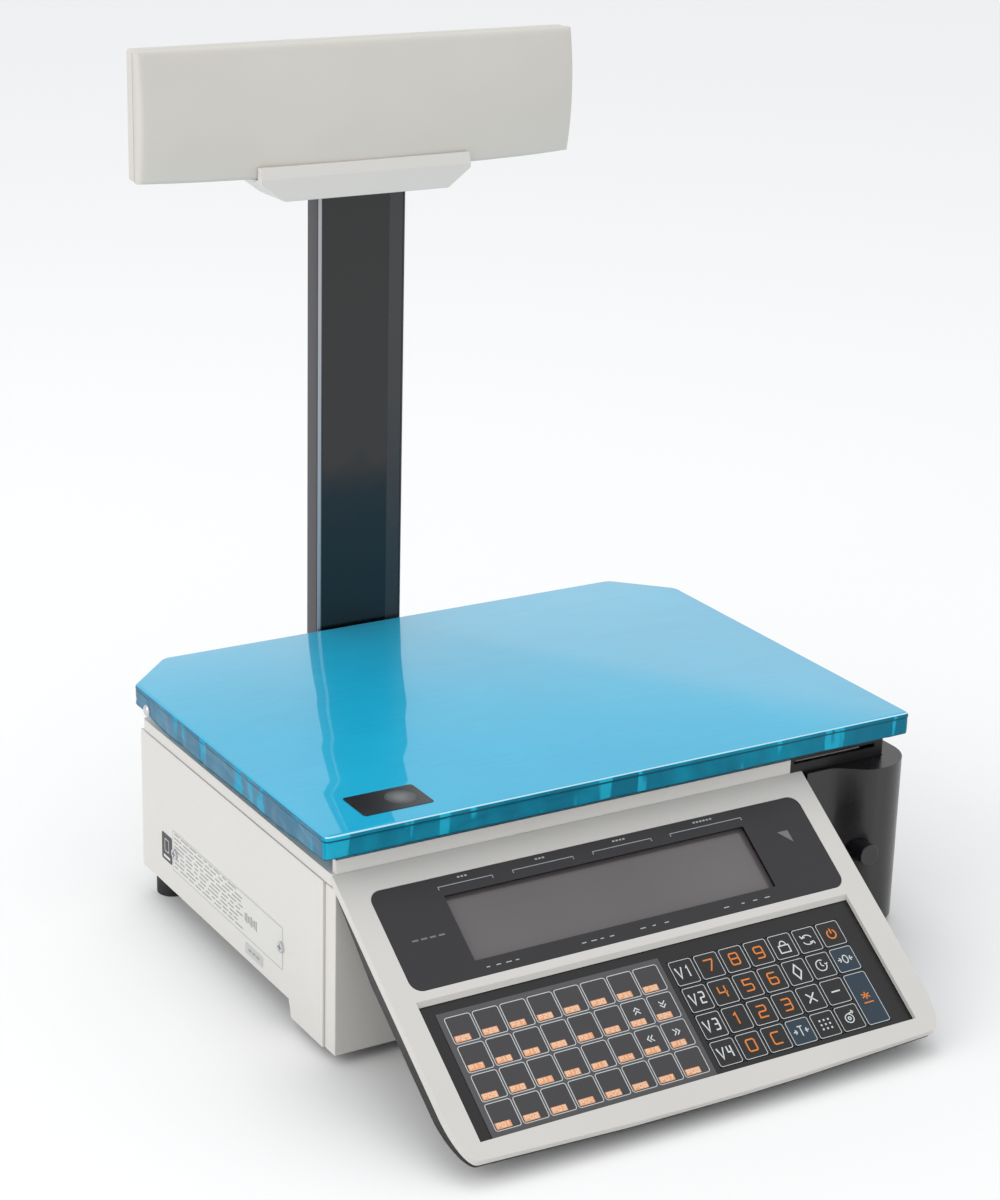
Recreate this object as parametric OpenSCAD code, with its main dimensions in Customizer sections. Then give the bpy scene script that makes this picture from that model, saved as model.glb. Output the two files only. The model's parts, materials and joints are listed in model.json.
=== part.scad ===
// Retail price scale with a label printer, a sloped operator console and a pole display.
// Millimetres. +Z is up, the operator stands on the -Y side, and the origin is on the
// table at the middle of the whole scale's plan.

/* [Weighing platter] */
// Width of the platter, left to right
platter_w = 380; // [376:0.5:384]
// Depth of the platter, front to back
platter_d = 275.5; // [272:0.5:277]
// Height of the platter's top face above the table
platter_top = 138; // [137:0.5:140]
// Depth of the platter's skirt
skirt_h = 11.7; // [10:0.1:13]
// Cut on the platter's two rear corners
corner_cut = 32.3; // [25:0.1:40]
// Thickness of the platter's sheet
platter_t = 1.5; // [1:0.1:2]
// How far the weighing support drops under full load
weigh_travel = 0.5; // [0.3:0.1:0.6]

/* [Body] */
// Wall thickness of the plastic covers
wall = 2.5; // [2:0.1:3]
// Width of the main body, left wall to printer bay
body_w = 294; // [290:1:294]
// Depth of the body, front panel to back wall
body_d = 248; // [246:1:249]
// Height of the seam under the top cover
seam_z = 104; // [103:0.5:104]
// Height of the body's lower edge at the back
skid_z = 16.4; // [16:0.1:16.6]
// Height of the body's lower edge at the front
chin_z = 6.2; // [5:0.1:8]

/* [Console] */
// Slope of the console from level
console_tilt = 34; // [33:0.5:35]
// Length of the console down its slope, at its middle
console_l = 175.5; // [174:0.5:176]
// How far the console's front edge bows out between its corners
console_bow = 4; // [2:0.5:5]
// Width of the console
console_w = 301.5; // [300:0.5:302]
// Height of the console's cream side
console_side = 5; // [4:0.5:6]
// Thickness of the console at its middle
console_deep = 21; // [20:0.5:22]

/* [Keys] */
// Distance between key centres across the console
key_pitch_x = 16.2; // [16.1:0.1:16.5]
// Distance between key centres down the slope
key_pitch_s = 16.65; // [16.5:0.05:16.8]
// Width of one key
key_w = 14.8; // [14:0.1:15]
// Height of one key down the slope
key_h = 15.2; // [14.5:0.1:15.4]
// Travel of one key
key_travel = 0.5; // [0.3:0.1:0.5]

/* [Pole display] */
// Width of the pole
pole_w = 58.6; // [56:0.1:60]
// Depth of the pole
pole_d = 14.3; // [12:0.1:14.3]
// Height of the pole's top above the table
pole_top = 416; // [412:1:418]
// Width of the display head
head_w = 282.5; // [278:0.5:285]
// Height of the display head
head_h = 74; // [72:0.5:78]
// Thickness of the display head at the middle of its ends
head_t = 18; // [17:0.5:19]

/* [Label printer] */
// Width of the label roll
roll_w = 54; // [50:1:56]
// Outer diameter of the label roll
roll_d = 72; // [60:1:74]
// Diameter of the platen roller
platen_d = 12; // [11:0.5:12]
// Diameter of the release button
button_d = 13; // [12:0.5:14]

/* [Feet] */
// Diameter of a foot's pad
foot_d = 19; // [18:1:22]
// Diameter of a foot's threaded stud
stud_d = 8; // [6:1:8]

/* [Hidden] */
FUNCTION_KEYS = [
  // name, column, row, rows covered, colour
  ["key_v1", 0, 0, 1, "#333135"], ["key_7", 1, 0, 1, "#333135"],
  ["key_8", 2, 0, 1, "#333135"], ["key_9", 3, 0, 1, "#333135"],
  ["key_fix", 4, 0, 1, "#333135"], ["key_repeat", 5, 0, 1, "#333135"],
  ["key_standby", 6, 0, 1, "#333135"],
  ["key_v2", 0, 1, 1, "#333135"], ["key_4", 1, 1, 1, "#333135"],
  ["key_5", 2, 1, 1, "#333135"], ["key_6", 3, 1, 1, "#333135"],
  ["key_diamond", 4, 1, 1, "#333135"], ["key_auto", 5, 1, 1, "#333135"],
  ["key_zero_set", 6, 1, 1, "#34444f"],
  ["key_v3", 0, 2, 1, "#333135"], ["key_1", 1, 2, 1, "#333135"],
  ["key_2", 2, 2, 1, "#333135"], ["key_3", 3, 2, 1, "#333135"],
  ["key_multiply", 4, 2, 1, "#333135"], ["key_minus", 5, 2, 1, "#333135"],
  ["key_print", 6, 2, 2, "#34444f"],
  ["key_v4", 0, 3, 1, "#333135"], ["key_0", 1, 3, 1, "#333135"],
  ["key_clear", 2, 3, 1, "#333135"], ["key_tare", 3, 3, 1, "#34444f"],
  ["key_lookup", 4, 3, 1, "#333135"], ["key_feed", 5, 3, 1, "#333135"]
];

CREAM = "#dfdcd3";
BLACK = "#2b2a2d";
STEEL = "#b9bcc0";
// Segments of a true circle, and of a faceted blend
FINE = 64;
BLEND = 32;
// Gap between neighbouring parts, and play of a shaft in its bore
gap = 0.3;
play = 0.05;

// Places of the main parts
platter_x = -6;
platter_front = -77;
platter_back = platter_front + platter_d;
platter_mid = [platter_x, platter_front + platter_d / 2];
skirt_z = platter_top - skirt_h;
body_left = -187;
body_right = body_left + body_w;
body_front = -69.5;
body_back = body_front + body_d;
lid_z = seam_z + 7;
chassis_z = 17;
chassis_t = 3;
floor_z = chassis_z + chassis_t;

// Load cell: a bar along X, fixed at its left end and loaded at its right end
cell = [140, 38, 35];
cell_low = [platter_mid.x - cell.x / 2, platter_mid.y - cell.y / 2, 44];
cell_top = cell_low.z + cell.z;
post_x = cell_low.x + cell.x - 20;
post_r = 14;
bend_gap = weigh_travel + 0.3;

// Console frame: its local x is the row's x, -y runs down the slope and z is the outward normal
console_origin = [0, -67, lid_z];
console_left = -186.5;
window_s = [14.2, 76.2];
window_x = [-172.3, 102.4];
lcd_s = [24.9, 67.4];
lcd_x = [-132.9, 61];
deck_s = [84, 162.6];
deck_x = [-173.3, 99.4];
deck_n = -3;
deck_slope = 2.6;
deck_t = 2;
key_t = 1;
key_proud = 0.2;
card_s = [89.4, 162];
card_x = [-164.9, -29.5];
keys_x = -25.6;
keys_s = 93.4;
belly_inset = 10;
// Rounding of the console's two front corners, across and along
nose = [9, 29];
band = 8;

// Display head and pole
pole_x = -59.7;
pole_y = 200.4;
pole_bottom = 24;
head_x = -174;
head_y = 192;
head_z = 423;
head_seam = 202.7;
head_back = head_y + head_t;
cradle_x = [-106.2, 30.9];
cradle_z = [410, 430];

// Printer bay: the fixed frame inside, and the outline of the swinging door round it
bay_left = 108;
bay_back = 171.5;
door_left = 125;
door_side = 196;
door_front = -73;
door_shelf = -60;
door_top = 104.5;
door_bottom = 4;
door_r = 24;
door_hinge = [187, 160];
hinge_r = 3;
block_z = [102.6, 119];
block_x = [111, 181];
block_y = [-57, -28];
platen_c = [-42, 106];
roll_c = [62, 60];
button_c = [158.5, 54];

// Screws through the left wall, by y and z
screw_places = [[131, 42], [-8.5, 44]];
feet = [[-173, 167.5], [150, 146], [-158, -38], [150, -38]];

// Box from its lowest corner to its highest
module block(low, high) {
  translate(low) cube(high - low);
}

// Flat outline with round corners, from its lowest corner to its highest
module soft_square(low, high, r) {
  size = high - low;
  translate([low.x + r, low.y]) square([size.x - 2 * r, size.y]);
  translate([low.x, low.y + r]) square([size.x, size.y - 2 * r]);
  for (x = [low.x + r, high.x - r], y = [low.y + r, high.y - r]) translate([x, y]) circle(r, $fn = FINE);
}

// Round bar along X, from x0 to x1, at y and z
module rod_x(x0, x1, at, r) {
  translate([x0, at.x, at.y]) rotate([0, 90, 0]) cylinder(h = x1 - x0, r = r, $fn = FINE);
}

// Round bar along Y, from y0 to y1, at x and z
module rod_y(y0, y1, at, r) {
  translate([at.x, y1, at.y]) rotate([90, 0, 0]) cylinder(h = y1 - y0, r = r, $fn = FINE);
}

// Extrudes a Y-Z profile along X
module along_x(x0, x1) {
  translate([x0, 0, 0]) rotate([90, 0, 90]) linear_extrude(x1 - x0) children();
}

// Extrudes an X-Z profile along Y
module along_y(y0, y1) {
  translate([0, y1, 0]) rotate([90, 0, 0]) linear_extrude(y1 - y0) children();
}

function reversed(list) = [for (i = [len(list) - 1 : -1 : 0]) list[i]];

// Places children in the console's tilted frame
module on_console() {
  translate(console_origin) rotate([console_tilt, 0, 0]) children();
}

// Console box given by x, distance down the slope and height above the face
module console_box(x, s, n) {
  block([x[0], -s[1], n[0]], [x[1], -s[0], n[1]]);
}

module platter_outline(inset) {
  w = platter_w / 2 - inset;
  back = platter_back - inset;
  cut = corner_cut - inset * 0.6;
  polygon([
    [platter_x - w, platter_front + inset], [platter_x + w, platter_front + inset],
    [platter_x + w, back - cut], [platter_x + w - cut, back],
    [platter_x - w + cut, back], [platter_x - w, back - cut]
  ]);
}

module platter() {
  color("#5fc3e6") difference() {
    translate([0, 0, skirt_z]) linear_extrude(skirt_h) platter_outline(0);
    translate([0, 0, skirt_z - 1]) linear_extrude(skirt_h + 1 - platter_t) platter_outline(platter_t);
  }
}

// Cross-shaped casting that carries the platter on four rubber pads
module platter_support() {
  arm_z = [120.2, 127];
  pad_z = platter_top - platter_t;
  reach = [150, 100];
  color("#8c8f94") {
    for (s = [-1, 1]) {
      block([platter_x - reach.x, platter_mid.y + s * reach.y - 11, arm_z[0]],
            [platter_x + reach.x, platter_mid.y + s * reach.y + 11, arm_z[1]]);
      block([platter_x + s * 60 - 14, platter_mid.y - reach.y, arm_z[0]],
            [platter_x + s * 60 + 14, platter_mid.y + reach.y, arm_z[1]]);
    }
    block([platter_x - 60, platter_mid.y - 20, arm_z[0]], [platter_x + 60, platter_mid.y + 20, arm_z[1]]);
    translate([post_x, platter_mid.y, cell_top + bend_gap])
      cylinder(h = arm_z[0] - cell_top - bend_gap, r = post_r, $fn = FINE);
  }
  color("#222222") for (x = [-1, 1], y = [-1, 1])
    translate([platter_x + x * (reach.x - 12), platter_mid.y + y * reach.y, arm_z[1]])
      cylinder(h = pad_z - arm_z[1], r = 9, $fn = FINE);
}

// Bending-beam load cell with its two joined bores
module load_cell() {
  bore_r = 11;
  mid = [platter_mid.x, cell_low.z + cell.z / 2];
  color("#c3c6ca") difference() {
    translate(cell_low) cube(cell);
    for (s = [-1, 1])
      rod_y(cell_low.y - 1, cell_low.y + cell.y + 1, [mid.x + s * 18, mid.y], bore_r);
    block([mid.x - 18, cell_low.y - 1, mid.y - 6], [mid.x + 18, cell_low.y + cell.y + 1, mid.y + 6]);
  }
}

module base_chassis() {
  flange_x = body_left + wall + gap;
  socket_y = body_back + gap;
  plate_front = -54.2;
  color(BLACK) difference() {
    union() {
      block([flange_x, plate_front, chassis_z], [176, 171, floor_z]);
      // Screwed flange behind the left wall
      block([flange_x, -30, chassis_z], [flange_x + 2, 150, 55]);
      // Pedestal under the load cell's fixed end
      block([cell_low.x, cell_low.y, floor_z], [cell_low.x + 34, cell_low.y + cell.y, cell_low.z]);
      for (f = feet) translate([f.x, f.y, chassis_z]) cylinder(h = 16, r = 7.5, $fn = FINE);
      // Socket that grips the pole behind the back wall
      block([pole_x - 4, 168, chassis_z], [pole_x + pole_w + 4, pole_y + pole_d, pole_bottom]);
      block([pole_x - 4, socket_y, chassis_z], [pole_x + pole_w + 4, pole_y - gap / 2, 100]);
      for (x = [pole_x - 4, pole_x + pole_w + gap / 2])
        block([x, socket_y, chassis_z], [x + 4 - gap / 2, pole_y + pole_d, 100]);
      // Lower ear of the door hinge
      block([170, door_hinge.y - 5.5, chassis_z], [door_hinge.x, door_hinge.y + 2, floor_z]);
      translate([door_hinge.x, door_hinge.y, chassis_z]) cylinder(h = chassis_t, r = 5.5, $fn = FINE);
    }
    for (f = feet) translate([f.x, f.y, 0]) cylinder(h = 60, r = stud_d / 2 + play, $fn = FINE);
    translate([door_hinge.x, door_hinge.y, 0]) cylinder(h = 60, r = hinge_r + play, $fn = FINE);
    for (s = screw_places) rod_x(flange_x - 1, flange_x + 4, s, 1.7);
    // Opening for the rocker switch under the left side
    block([-176.5, 16.5, 0], [-162.5, 35.5, 60]);
    rod_x(-181, -157, [26, 18.5], 1.5 + play);
  }
}

module case_screws() {
  head_h = 1.4;
  color(STEEL) for (s = screw_places) difference() {
    union() {
      rod_x(body_left - head_h, body_left, s, 3.2);
      rod_x(body_left, body_left + 9, s, 1.5);
    }
    // Cross slot
    block([body_left - 2, s.x - 2.2, s.y - 0.4], [body_left - 0.6, s.x + 2.2, s.y + 0.4]);
    block([body_left - 2, s.x - 0.4, s.y - 2.2], [body_left - 0.6, s.x + 0.4, s.y + 2.2]);
  }
}

// Left wall and back wall in one cover
module main_housing() {
  color(CREAM) difference() {
    union() {
      along_x(body_left, body_left + wall)
        polygon([[body_front + 12, seam_z], [body_back, seam_z], [body_back, skid_z + 1],
                 [body_back - 1.5, skid_z], [-17, skid_z], [-20, chin_z], [body_front + 12, chin_z]]);
      block([body_left, body_back - wall, skid_z + 1], [body_right, body_back, seam_z]);
      // Inner ledge that the top cover sits on
      block([body_left + wall, body_front + 12, seam_z - 6], [body_left + wall + 3, body_back - wall, seam_z - 3]);
    }
    for (s = screw_places) rod_x(body_left - 1, body_left + wall + 1, s, 1.7);
    // Opening for the mains inlet, and the way out for the pole's socket
    block([-146, body_back - wall - 1, 60], [-118, body_back + 1, 80]);
    block([pole_x - 5, body_back - wall - 1, 0], [pole_x + pole_w + 5, body_back + 1, pole_bottom + 1]);
    // Ventilation slots
    for (i = [0 : 6])
      block([20 + i * 9, body_back - wall - 1, 58], [23.5 + i * 9, body_back + 1, 88]);
  }
}

// Plain cover behind and below the console
module front_panel() {
  panel_top = 82;
  post_x = body_left + 9;
  color(CREAM) {
    block([body_left + 1.2, body_front, chin_z], [body_right, body_front + wall, panel_top]);
    block([body_left + 1.2, body_front, panel_top], [post_x, body_front + wall, seam_z - 1]);
    // Return round the left corner to the seam
    block([body_left + 1.2, body_front + wall, chin_z], [body_left + 1.2 + wall, body_front + 11.6, seam_z - 1]);
  }
}

module top_cover() {
  ridge_z = 119;
  color(CREAM) difference() {
    union() {
      translate([0, 0, seam_z + gap]) linear_extrude(lid_z - seam_z - gap)
        soft_square([body_left + 0.8, console_origin.y + gap], [body_right, body_back - 1], 3);
      block([body_left + 3, console_origin.y + gap, seam_z + gap], [body_right, -62.5, ridge_z]);
    }
    translate([0, 0, seam_z - 1]) linear_extrude(lid_z - seam_z - 1)
      soft_square([body_left + 6, -60], [body_right - 3, body_back - 5], 3);
    translate([post_x, platter_mid.y, 0]) cylinder(h = 200, r = post_r + 4, $fn = FINE);
  }
}

// Circuit board on four pillars
module main_board() {
  low = [-50, -52, 30];
  size = [140, 76, 1.6];
  color("#1f5a3a") difference() {
    translate(low) cube(size);
    for (x = [5, size.x - 5], y = [5, size.y - 5])
      translate([low.x + x, low.y + y, 0]) cylinder(h = 60, r = 1.6, $fn = FINE);
  }
  color(STEEL) for (x = [10, size.x - 10], y = [10, size.y - 10])
    translate([low.x + x, low.y + y, floor_z]) cylinder(h = low.z - floor_z, r = 3, $fn = FINE);
  color("#202020") {
    block(low + [24, 20, size.z], low + [50, 46, 4.6]);
    block(low + [64, 18, size.z], low + [84, 32, 4.2]);
    block(low + [64, 44, size.z], low + [84, 58, 4.2]);
    block(low + [98, 16, size.z], low + [124, 28, 11]);
    block(low + [98, 44, size.z], low + [124, 56, 11]);
  }
}

module power_supply() {
  color("#a8abae") difference() {
    block([-150, 84, floor_z], [-92, 160, 54]);
    for (i = [0 : 5]) block([-142 + i * 8, 92, 52], [-139 + i * 8, 150, 56]);
  }
}

// Recessed mains socket in the back wall
module power_inlet() {
  y0 = body_back - 22;
  color("#1c1c1e") {
    difference() {
      union() {
        block([-145.5, y0, 60.5], [-118.5, body_back, 79.5]);
        block([-149, body_back, 57], [-115, body_back + 1.6, 83]);
      }
      block([-143, y0 + 3, 63], [-121, body_back + 3, 77]);
    }
    for (x = [-138, -132, -126]) block([x - 0.9, y0 + 3, 68], [x + 0.9, body_back - 3, 72]);
  }
}

// Rocker in the chassis opening, leaning to its off side
module power_switch() {
  mid = [26, 18.5];
  color("#1c1c1e") {
    along_x(-175.5, -163.5) translate(mid)
      polygon([[-8.6, 1], [8.2, 1], [8.2, -1.5], [0, -3], [-7.6, -6], [-8.6, -5]]);
    rod_x(-180, -158, mid, 1.5);
  }
}

// One front corner of the console: side -1 is the left one. Distances down the slope are negative y.
function console_corner(side, inset) = [for (a = [0 : 7.5 : 90]) let (
    half = console_w / 2 - inset,
    x = half - nose.x * (1 - cos(a)),
    bow = console_bow * (1 - pow(x / half, 2)) * sin(a)
  ) [console_left + console_w / 2 + side * x, -(console_l - console_bow - nose.y * (1 - sin(a)) + bow - inset)]];

// Plan outline of the console, with a bowed front edge
module console_outline(inset) {
  half = console_w / 2 - inset;
  front = [for (i = [-7 : 7]) let (x = (half - nose.x) * i / 8)
    [console_left + console_w / 2 + x, -(console_l - console_bow * pow(x / half, 2) - inset)]];
  polygon(concat([[console_left + console_w - inset, 3], [console_left + inset, 3]],
                 console_corner(-1, inset), front, reversed(console_corner(1, inset))));
}

module console_shell() {
  color(CREAM) on_console() difference() {
    translate([0, 0, -console_side]) linear_extrude(console_side) console_outline(0);
    translate([0, 0, -console_side - 1]) linear_extrude(console_side - 1.6) console_outline(wall);
    // Shallow seat of the display window, and the opening under it
    translate([0, 0, -0.9]) linear_extrude(2)
      soft_square([window_x[0], -window_s[1]], [window_x[1], -window_s[0]], 7);
    console_box([lcd_x[0] - 3, lcd_x[1] + 3], [lcd_s[0] - 3, lcd_s[1] + 3], [-20, 1]);
    // Opening over the keyboard, with a sloped upper wall
    console_box(deck_x, deck_s, [-20, 1]);
    along_x(deck_x[0], deck_x[1])
      polygon([[-deck_s[0] - 1, deck_n], [-deck_s[0], deck_n],
               [-deck_s[0] + deck_slope * (1 - deck_n) / -deck_n, 1], [-deck_s[0] - 1, 1]]);
    // Vertical face towards the top cover
    rotate([-console_tilt, 0, 0]) block([-300, 0, -60], [300, 60, 60]);
  }
}

module console_bottom() {
  lip = 12;
  color(BLACK) on_console() difference() {
    union() {
      intersection() {
        translate([0, 0, -console_side - band]) linear_extrude(band - gap / 2) console_outline(0.5);
        // The band thins out towards the top and the nose
        along_x(-300, 300)
          polygon([[0, -4], [0, -console_side - 0.6], [-60, -console_side - band],
                   [-console_l + 34, -console_side - band], [-console_l, -console_side - 3], [-console_l, -4]]);
      }
      along_x(console_left + belly_inset, console_left + console_w - belly_inset)
        polygon([[0, -console_side - 0.6], [-console_l + lip, -console_side - 0.6],
                 [-console_l + lip, -console_side - 3], [-console_l + 40, -console_deep + 5],
                 [-90, -console_deep], [-9, -console_deep]]);
    }
    // Hollow under the panels
    along_x(console_left + belly_inset + 2, console_left + console_w - belly_inset - 2)
      polygon([[-3, 1], [-console_l + lip + 5, 1], [-console_l + lip + 5, -console_side - 2],
               [-console_l + 42, -console_deep + 7], [-90, -console_deep + 2], [-8, -console_deep + 2]]);
    // Stops short of the front panel and the top cover
    rotate([-console_tilt, 0, 0]) block([-300, body_front - console_origin.y - gap, -60], [300, 60, 60]);
  }
}

// Printed window of clear plastic, flush in the console
module display_window() {
  color("#3f3d42") on_console() translate([0, 0, -0.85]) linear_extrude(0.75)
    soft_square([window_x[0] + 0.25, -window_s[1] + 0.25], [window_x[1] - 0.25, -window_s[0] - 0.25], 6.75);
}

module operator_lcd() {
  color("#6e6769") on_console() {
    console_box(lcd_x, lcd_s, [-6.5, -3.6]);
    color("#1f5a3a") console_box([lcd_x[0] - 6, lcd_x[1] + 6], [lcd_s[0] - 6, lcd_s[1] + 6], [-8.1, -6.5]);
  }
}

function key_low(k) = [keys_x + k[1] * key_pitch_x, keys_s + k[2] * key_pitch_s];
function key_size(k) = [key_w, key_h + (k[3] - 1) * key_pitch_s];

// Keyboard membrane, with one pocket under each function key
module key_overlay() {
  clear = 0.25;
  color("#333135") on_console() difference() {
    console_box([deck_x[0] - 3, deck_x[1] + 3], [deck_s[0] - 3, deck_s[1] + 3], [deck_n - deck_t, deck_n]);
    // Border that slips under the shell
    difference() {
      console_box([deck_x[0] - 5, deck_x[1] + 5], [deck_s[0] - 5, deck_s[1] + 5], [deck_n - 0.2, 1]);
      console_box([deck_x[0] + 0.25, deck_x[1] - 0.25], [deck_s[0] + 0.25, deck_s[1] - 0.25], [-20, 2]);
    }
    for (k = FUNCTION_KEYS) {
      low = key_low(k) - [clear, clear];
      high = key_low(k) + key_size(k) + [clear, clear];
      console_box([low.x, high.x], [low.y, high.y], [deck_n + key_proud - key_t - key_travel - 0.1, 1]);
    }
  }
}

// Printed card with the preset squares, stuck on the membrane
module preset_card() {
  color("#5f5e61") on_console() console_box(card_x, card_s, [deck_n, deck_n + 0.4]);
}

module function_key(k) {
  low = key_low(k);
  size = key_size(k);
  color(k[4]) on_console() translate([0, 0, deck_n + key_proud - key_t]) linear_extrude(key_t)
    soft_square([low.x, -low.y - size.y], [low.x + size.x, -low.y], 1);
}

// Flat pole with a hollow section and a sunk strip down its front
module pole() {
  groove = [3.4, 1.6];
  color("#3c3a3f") translate([0, 0, pole_bottom]) linear_extrude(pole_top - pole_bottom) difference() {
    soft_square([pole_x, pole_y], [pole_x + pole_w, pole_y + pole_d], 1.5);
    soft_square([pole_x + 2, pole_y + 2.4], [pole_x + pole_w - 2, pole_y + pole_d - 1.6], 1);
    translate([pole_x + groove.x, pole_y - 1]) square([pole_w - groove.x - groove.y, 1.6]);
  }
}

// Saddle on top of the pole, with a lip on the operator's side
module head_cradle() {
  drop = 15;
  lip_y = 179.5;
  bevel = [1.8, 6.5];
  bowed = [for (i = [0 : 12]) let (x = cradle_x[0] - 2 + (cradle_x[1] - cradle_x[0] + 4) * i / 12)
    [x, head_y - head_bulge(2 * (x - head_x) / head_w - 1, 0.1) - gap]];
  color(CREAM) difference() {
    along_y(lip_y, head_back + 3)
      polygon([[cradle_x[0], cradle_z[1]], [cradle_x[0], cradle_z[1] - 9],
               [cradle_x[0] + drop, cradle_z[0]], [cradle_x[1] - drop, cradle_z[0]],
               [cradle_x[1], cradle_z[1] - 9], [cradle_x[1], cradle_z[1]]]);
    // Space for the head and its bowed face, lower lip at the back
    translate([0, 0, head_z - gap]) linear_extrude(80)
      polygon(concat(bowed, [[cradle_x[1] + 2, head_back + gap], [cradle_x[0] - 2, head_back + gap]]));
    // Bevel along the lip's top
    along_x(cradle_x[0] - 1, cradle_x[1] + 1)
      polygon([[lip_y - 1, cradle_z[1] - bevel.y], [lip_y, cradle_z[1] - bevel.y],
               [lip_y + bevel.x, cradle_z[1]], [lip_y + bevel.x, cradle_z[1] + 1], [lip_y - 1, cradle_z[1] + 1]]);
    block([-200, head_back, head_z + 3], [200, 300, 500]);
    // Seat of the pole's top
    block([pole_x - 0.15, pole_y - 0.15, 0], [pole_x + pole_w + 0.15, pole_y + pole_d + 0.15, pole_top + 0.1]);
  }
}

// How far the head's operator face stands in front of the middle of its ends.
// u runs from -1 to 1 across, and v from 0 at the bottom to 1 at the top.
function head_bulge(u, v) = (2 + 10.9 * pow(1 - v, 1.2)) * (1 - u * u) * (1 + 0.6 * u * u)
                            - 4.2 * pow(2 * v - 1, 2);

// Curved cover, open at the seam: its corner points are the outer rim, the cavity's rim and the cavity's floor
module head_operator_shell() {
  across = 20;
  up = 10;
  row = across + 1;
  n = row * (up + 1);
  skin = 3;
  floor_y = [head_y + 7.5, head_y + 7];
  ends = [[0, 0], [1, 0], [1, 1], [0, 1]];
  front = [for (j = [0 : up], i = [0 : across])
    [head_x + head_w * i / across, head_y - head_bulge(2 * i / across - 1, j / up), head_z + head_h * j / up]];
  rim = [for (c = ends) [head_x + head_w * c[0], head_seam, head_z + head_h * c[1]]];
  cavity = [for (deep = [0, 1], c = ends)
    [head_x + skin + (head_w - 2 * skin) * c[0], deep ? floor_y[c[1]] : head_seam,
     head_z + skin + (head_h - 2 * skin) * c[1]]];
  faces = concat(
    [for (j = [0 : up - 1], i = [0 : across - 1]) [j * row + i, (j + 1) * row + i, (j + 1) * row + i + 1]],
    [for (j = [0 : up - 1], i = [0 : across - 1]) [j * row + i, (j + 1) * row + i + 1, j * row + i + 1]],
    [[n + 1, n, for (i = [0 : across]) i]],
    [[n + 3, n + 2, for (i = [across : -1 : 0]) up * row + i]],
    [[n, n + 3, for (j = [up : -1 : 0]) j * row]],
    [[n + 2, n + 1, for (j = [0 : up]) j * row + across]],
    [for (i = [0 : 3]) let (k = (i + 1) % 4) [n + i, n + k, n + 4 + k, n + 4 + i]],
    [for (i = [0 : 3]) let (k = (i + 1) % 4) [n + 4 + i, n + 4 + k, n + 8 + k, n + 8 + i]],
    [[n + 8, n + 9, n + 10, n + 11]]
  );
  color(CREAM) polyhedron(concat(front, rim, cavity), faces);
}

module head_customer_shell() {
  win_x = [head_x + 16, head_x + head_w - 16];
  win_z = [head_z + 14, head_z + head_h - 12];
  color(CREAM) difference() {
    along_y(head_seam + gap, head_back)
      soft_square([head_x, head_z], [head_x + head_w, head_z + head_h], 2);
    along_y(head_seam, head_back - 2.2)
      soft_square([head_x + 3, head_z + 3], [head_x + head_w - 3, head_z + head_h - 3], 2);
    along_y(head_back - 5, head_back + 1) soft_square([win_x[0], win_z[0]], [win_x[1], win_z[1]], 4);
  }
}

// Window and display board on the customer's side
module customer_display() {
  win_x = [head_x + 16, head_x + head_w - 16];
  win_z = [head_z + 14, head_z + head_h - 12];
  color("#1d1f24") along_y(head_back - 2, head_back - 0.3)
    soft_square([win_x[0] + 0.25, win_z[0] + 0.25], [win_x[1] - 0.25, win_z[1] - 0.25], 3.75);
  color("#1f5a3a") block([win_x[0] + 4, head_back - 6, win_z[0] + 3], [win_x[1] - 4, head_back - 2, win_z[1] - 3]);
}

// Outer line of the door, from its left end round to its back end, drawn inwards by inset
function door_line(inset) = let (
    sweep = [140, 166],
    corner = [door_side - door_r, door_front + door_r],
    r = door_r - inset
  ) concat(
    [[door_left, door_shelf + inset]],
    [for (i = [0 : 12]) let (t = i / 12, x = sweep[0] + t * (sweep[1] - sweep[0]))
      [x + inset * sin(180 * t) * 0.45, door_shelf + (door_front - door_shelf) * (3 * t * t - 2 * t * t * t) + inset]],
    [for (a = [-90 : 7.5 : 0]) [corner.x + r * cos(a), corner.y + r * sin(a)]],
    [[door_side - inset, door_hinge.y + 5]]
  );

module door_wall(outer, inner) {
  polygon(concat(door_line(outer), reversed(door_line(inner))));
}

module printer_door() {
  top_t = 2;
  color(BLACK) difference() {
    union() {
      translate([0, 0, door_bottom]) linear_extrude(door_top - door_bottom - 1) door_wall(0, wall);
      // Flat top, open over the printing mechanism
      translate([0, 0, door_top - top_t]) linear_extrude(top_t) difference() {
        polygon(concat(door_line(0), [[door_left, door_hinge.y + 5]]));
        translate([door_left - 1, block_y[0] - 0.6]) square([block_x[1] + 1.6 - door_left, 400]);
      }
      // Hinge lug and pins
      block([door_hinge.x - 4, door_hinge.y - 4, floor_z + 1], [door_side - 1, door_hinge.y + 4, floor_z + 5]);
      translate([door_hinge.x, door_hinge.y, floor_z + 1]) cylinder(h = 4, r = 5, $fn = FINE);
      translate([door_hinge.x, door_hinge.y, chassis_z - 0.5]) cylinder(h = 6, r = hinge_r, $fn = FINE);
      translate([door_hinge.x, door_hinge.y, door_top - 1]) cylinder(h = 6.5, r = hinge_r, $fn = FINE);
    }
    rod_y(-100, -40, button_c, button_d / 2 + gap);
  }
}

module release_button() {
  color("#232225") {
    rod_y(-80.5, -60.8, button_c, button_d / 2);
    rod_y(-60.8, -58.8, button_c, button_d / 2 + 1.5);
  }
}

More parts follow.
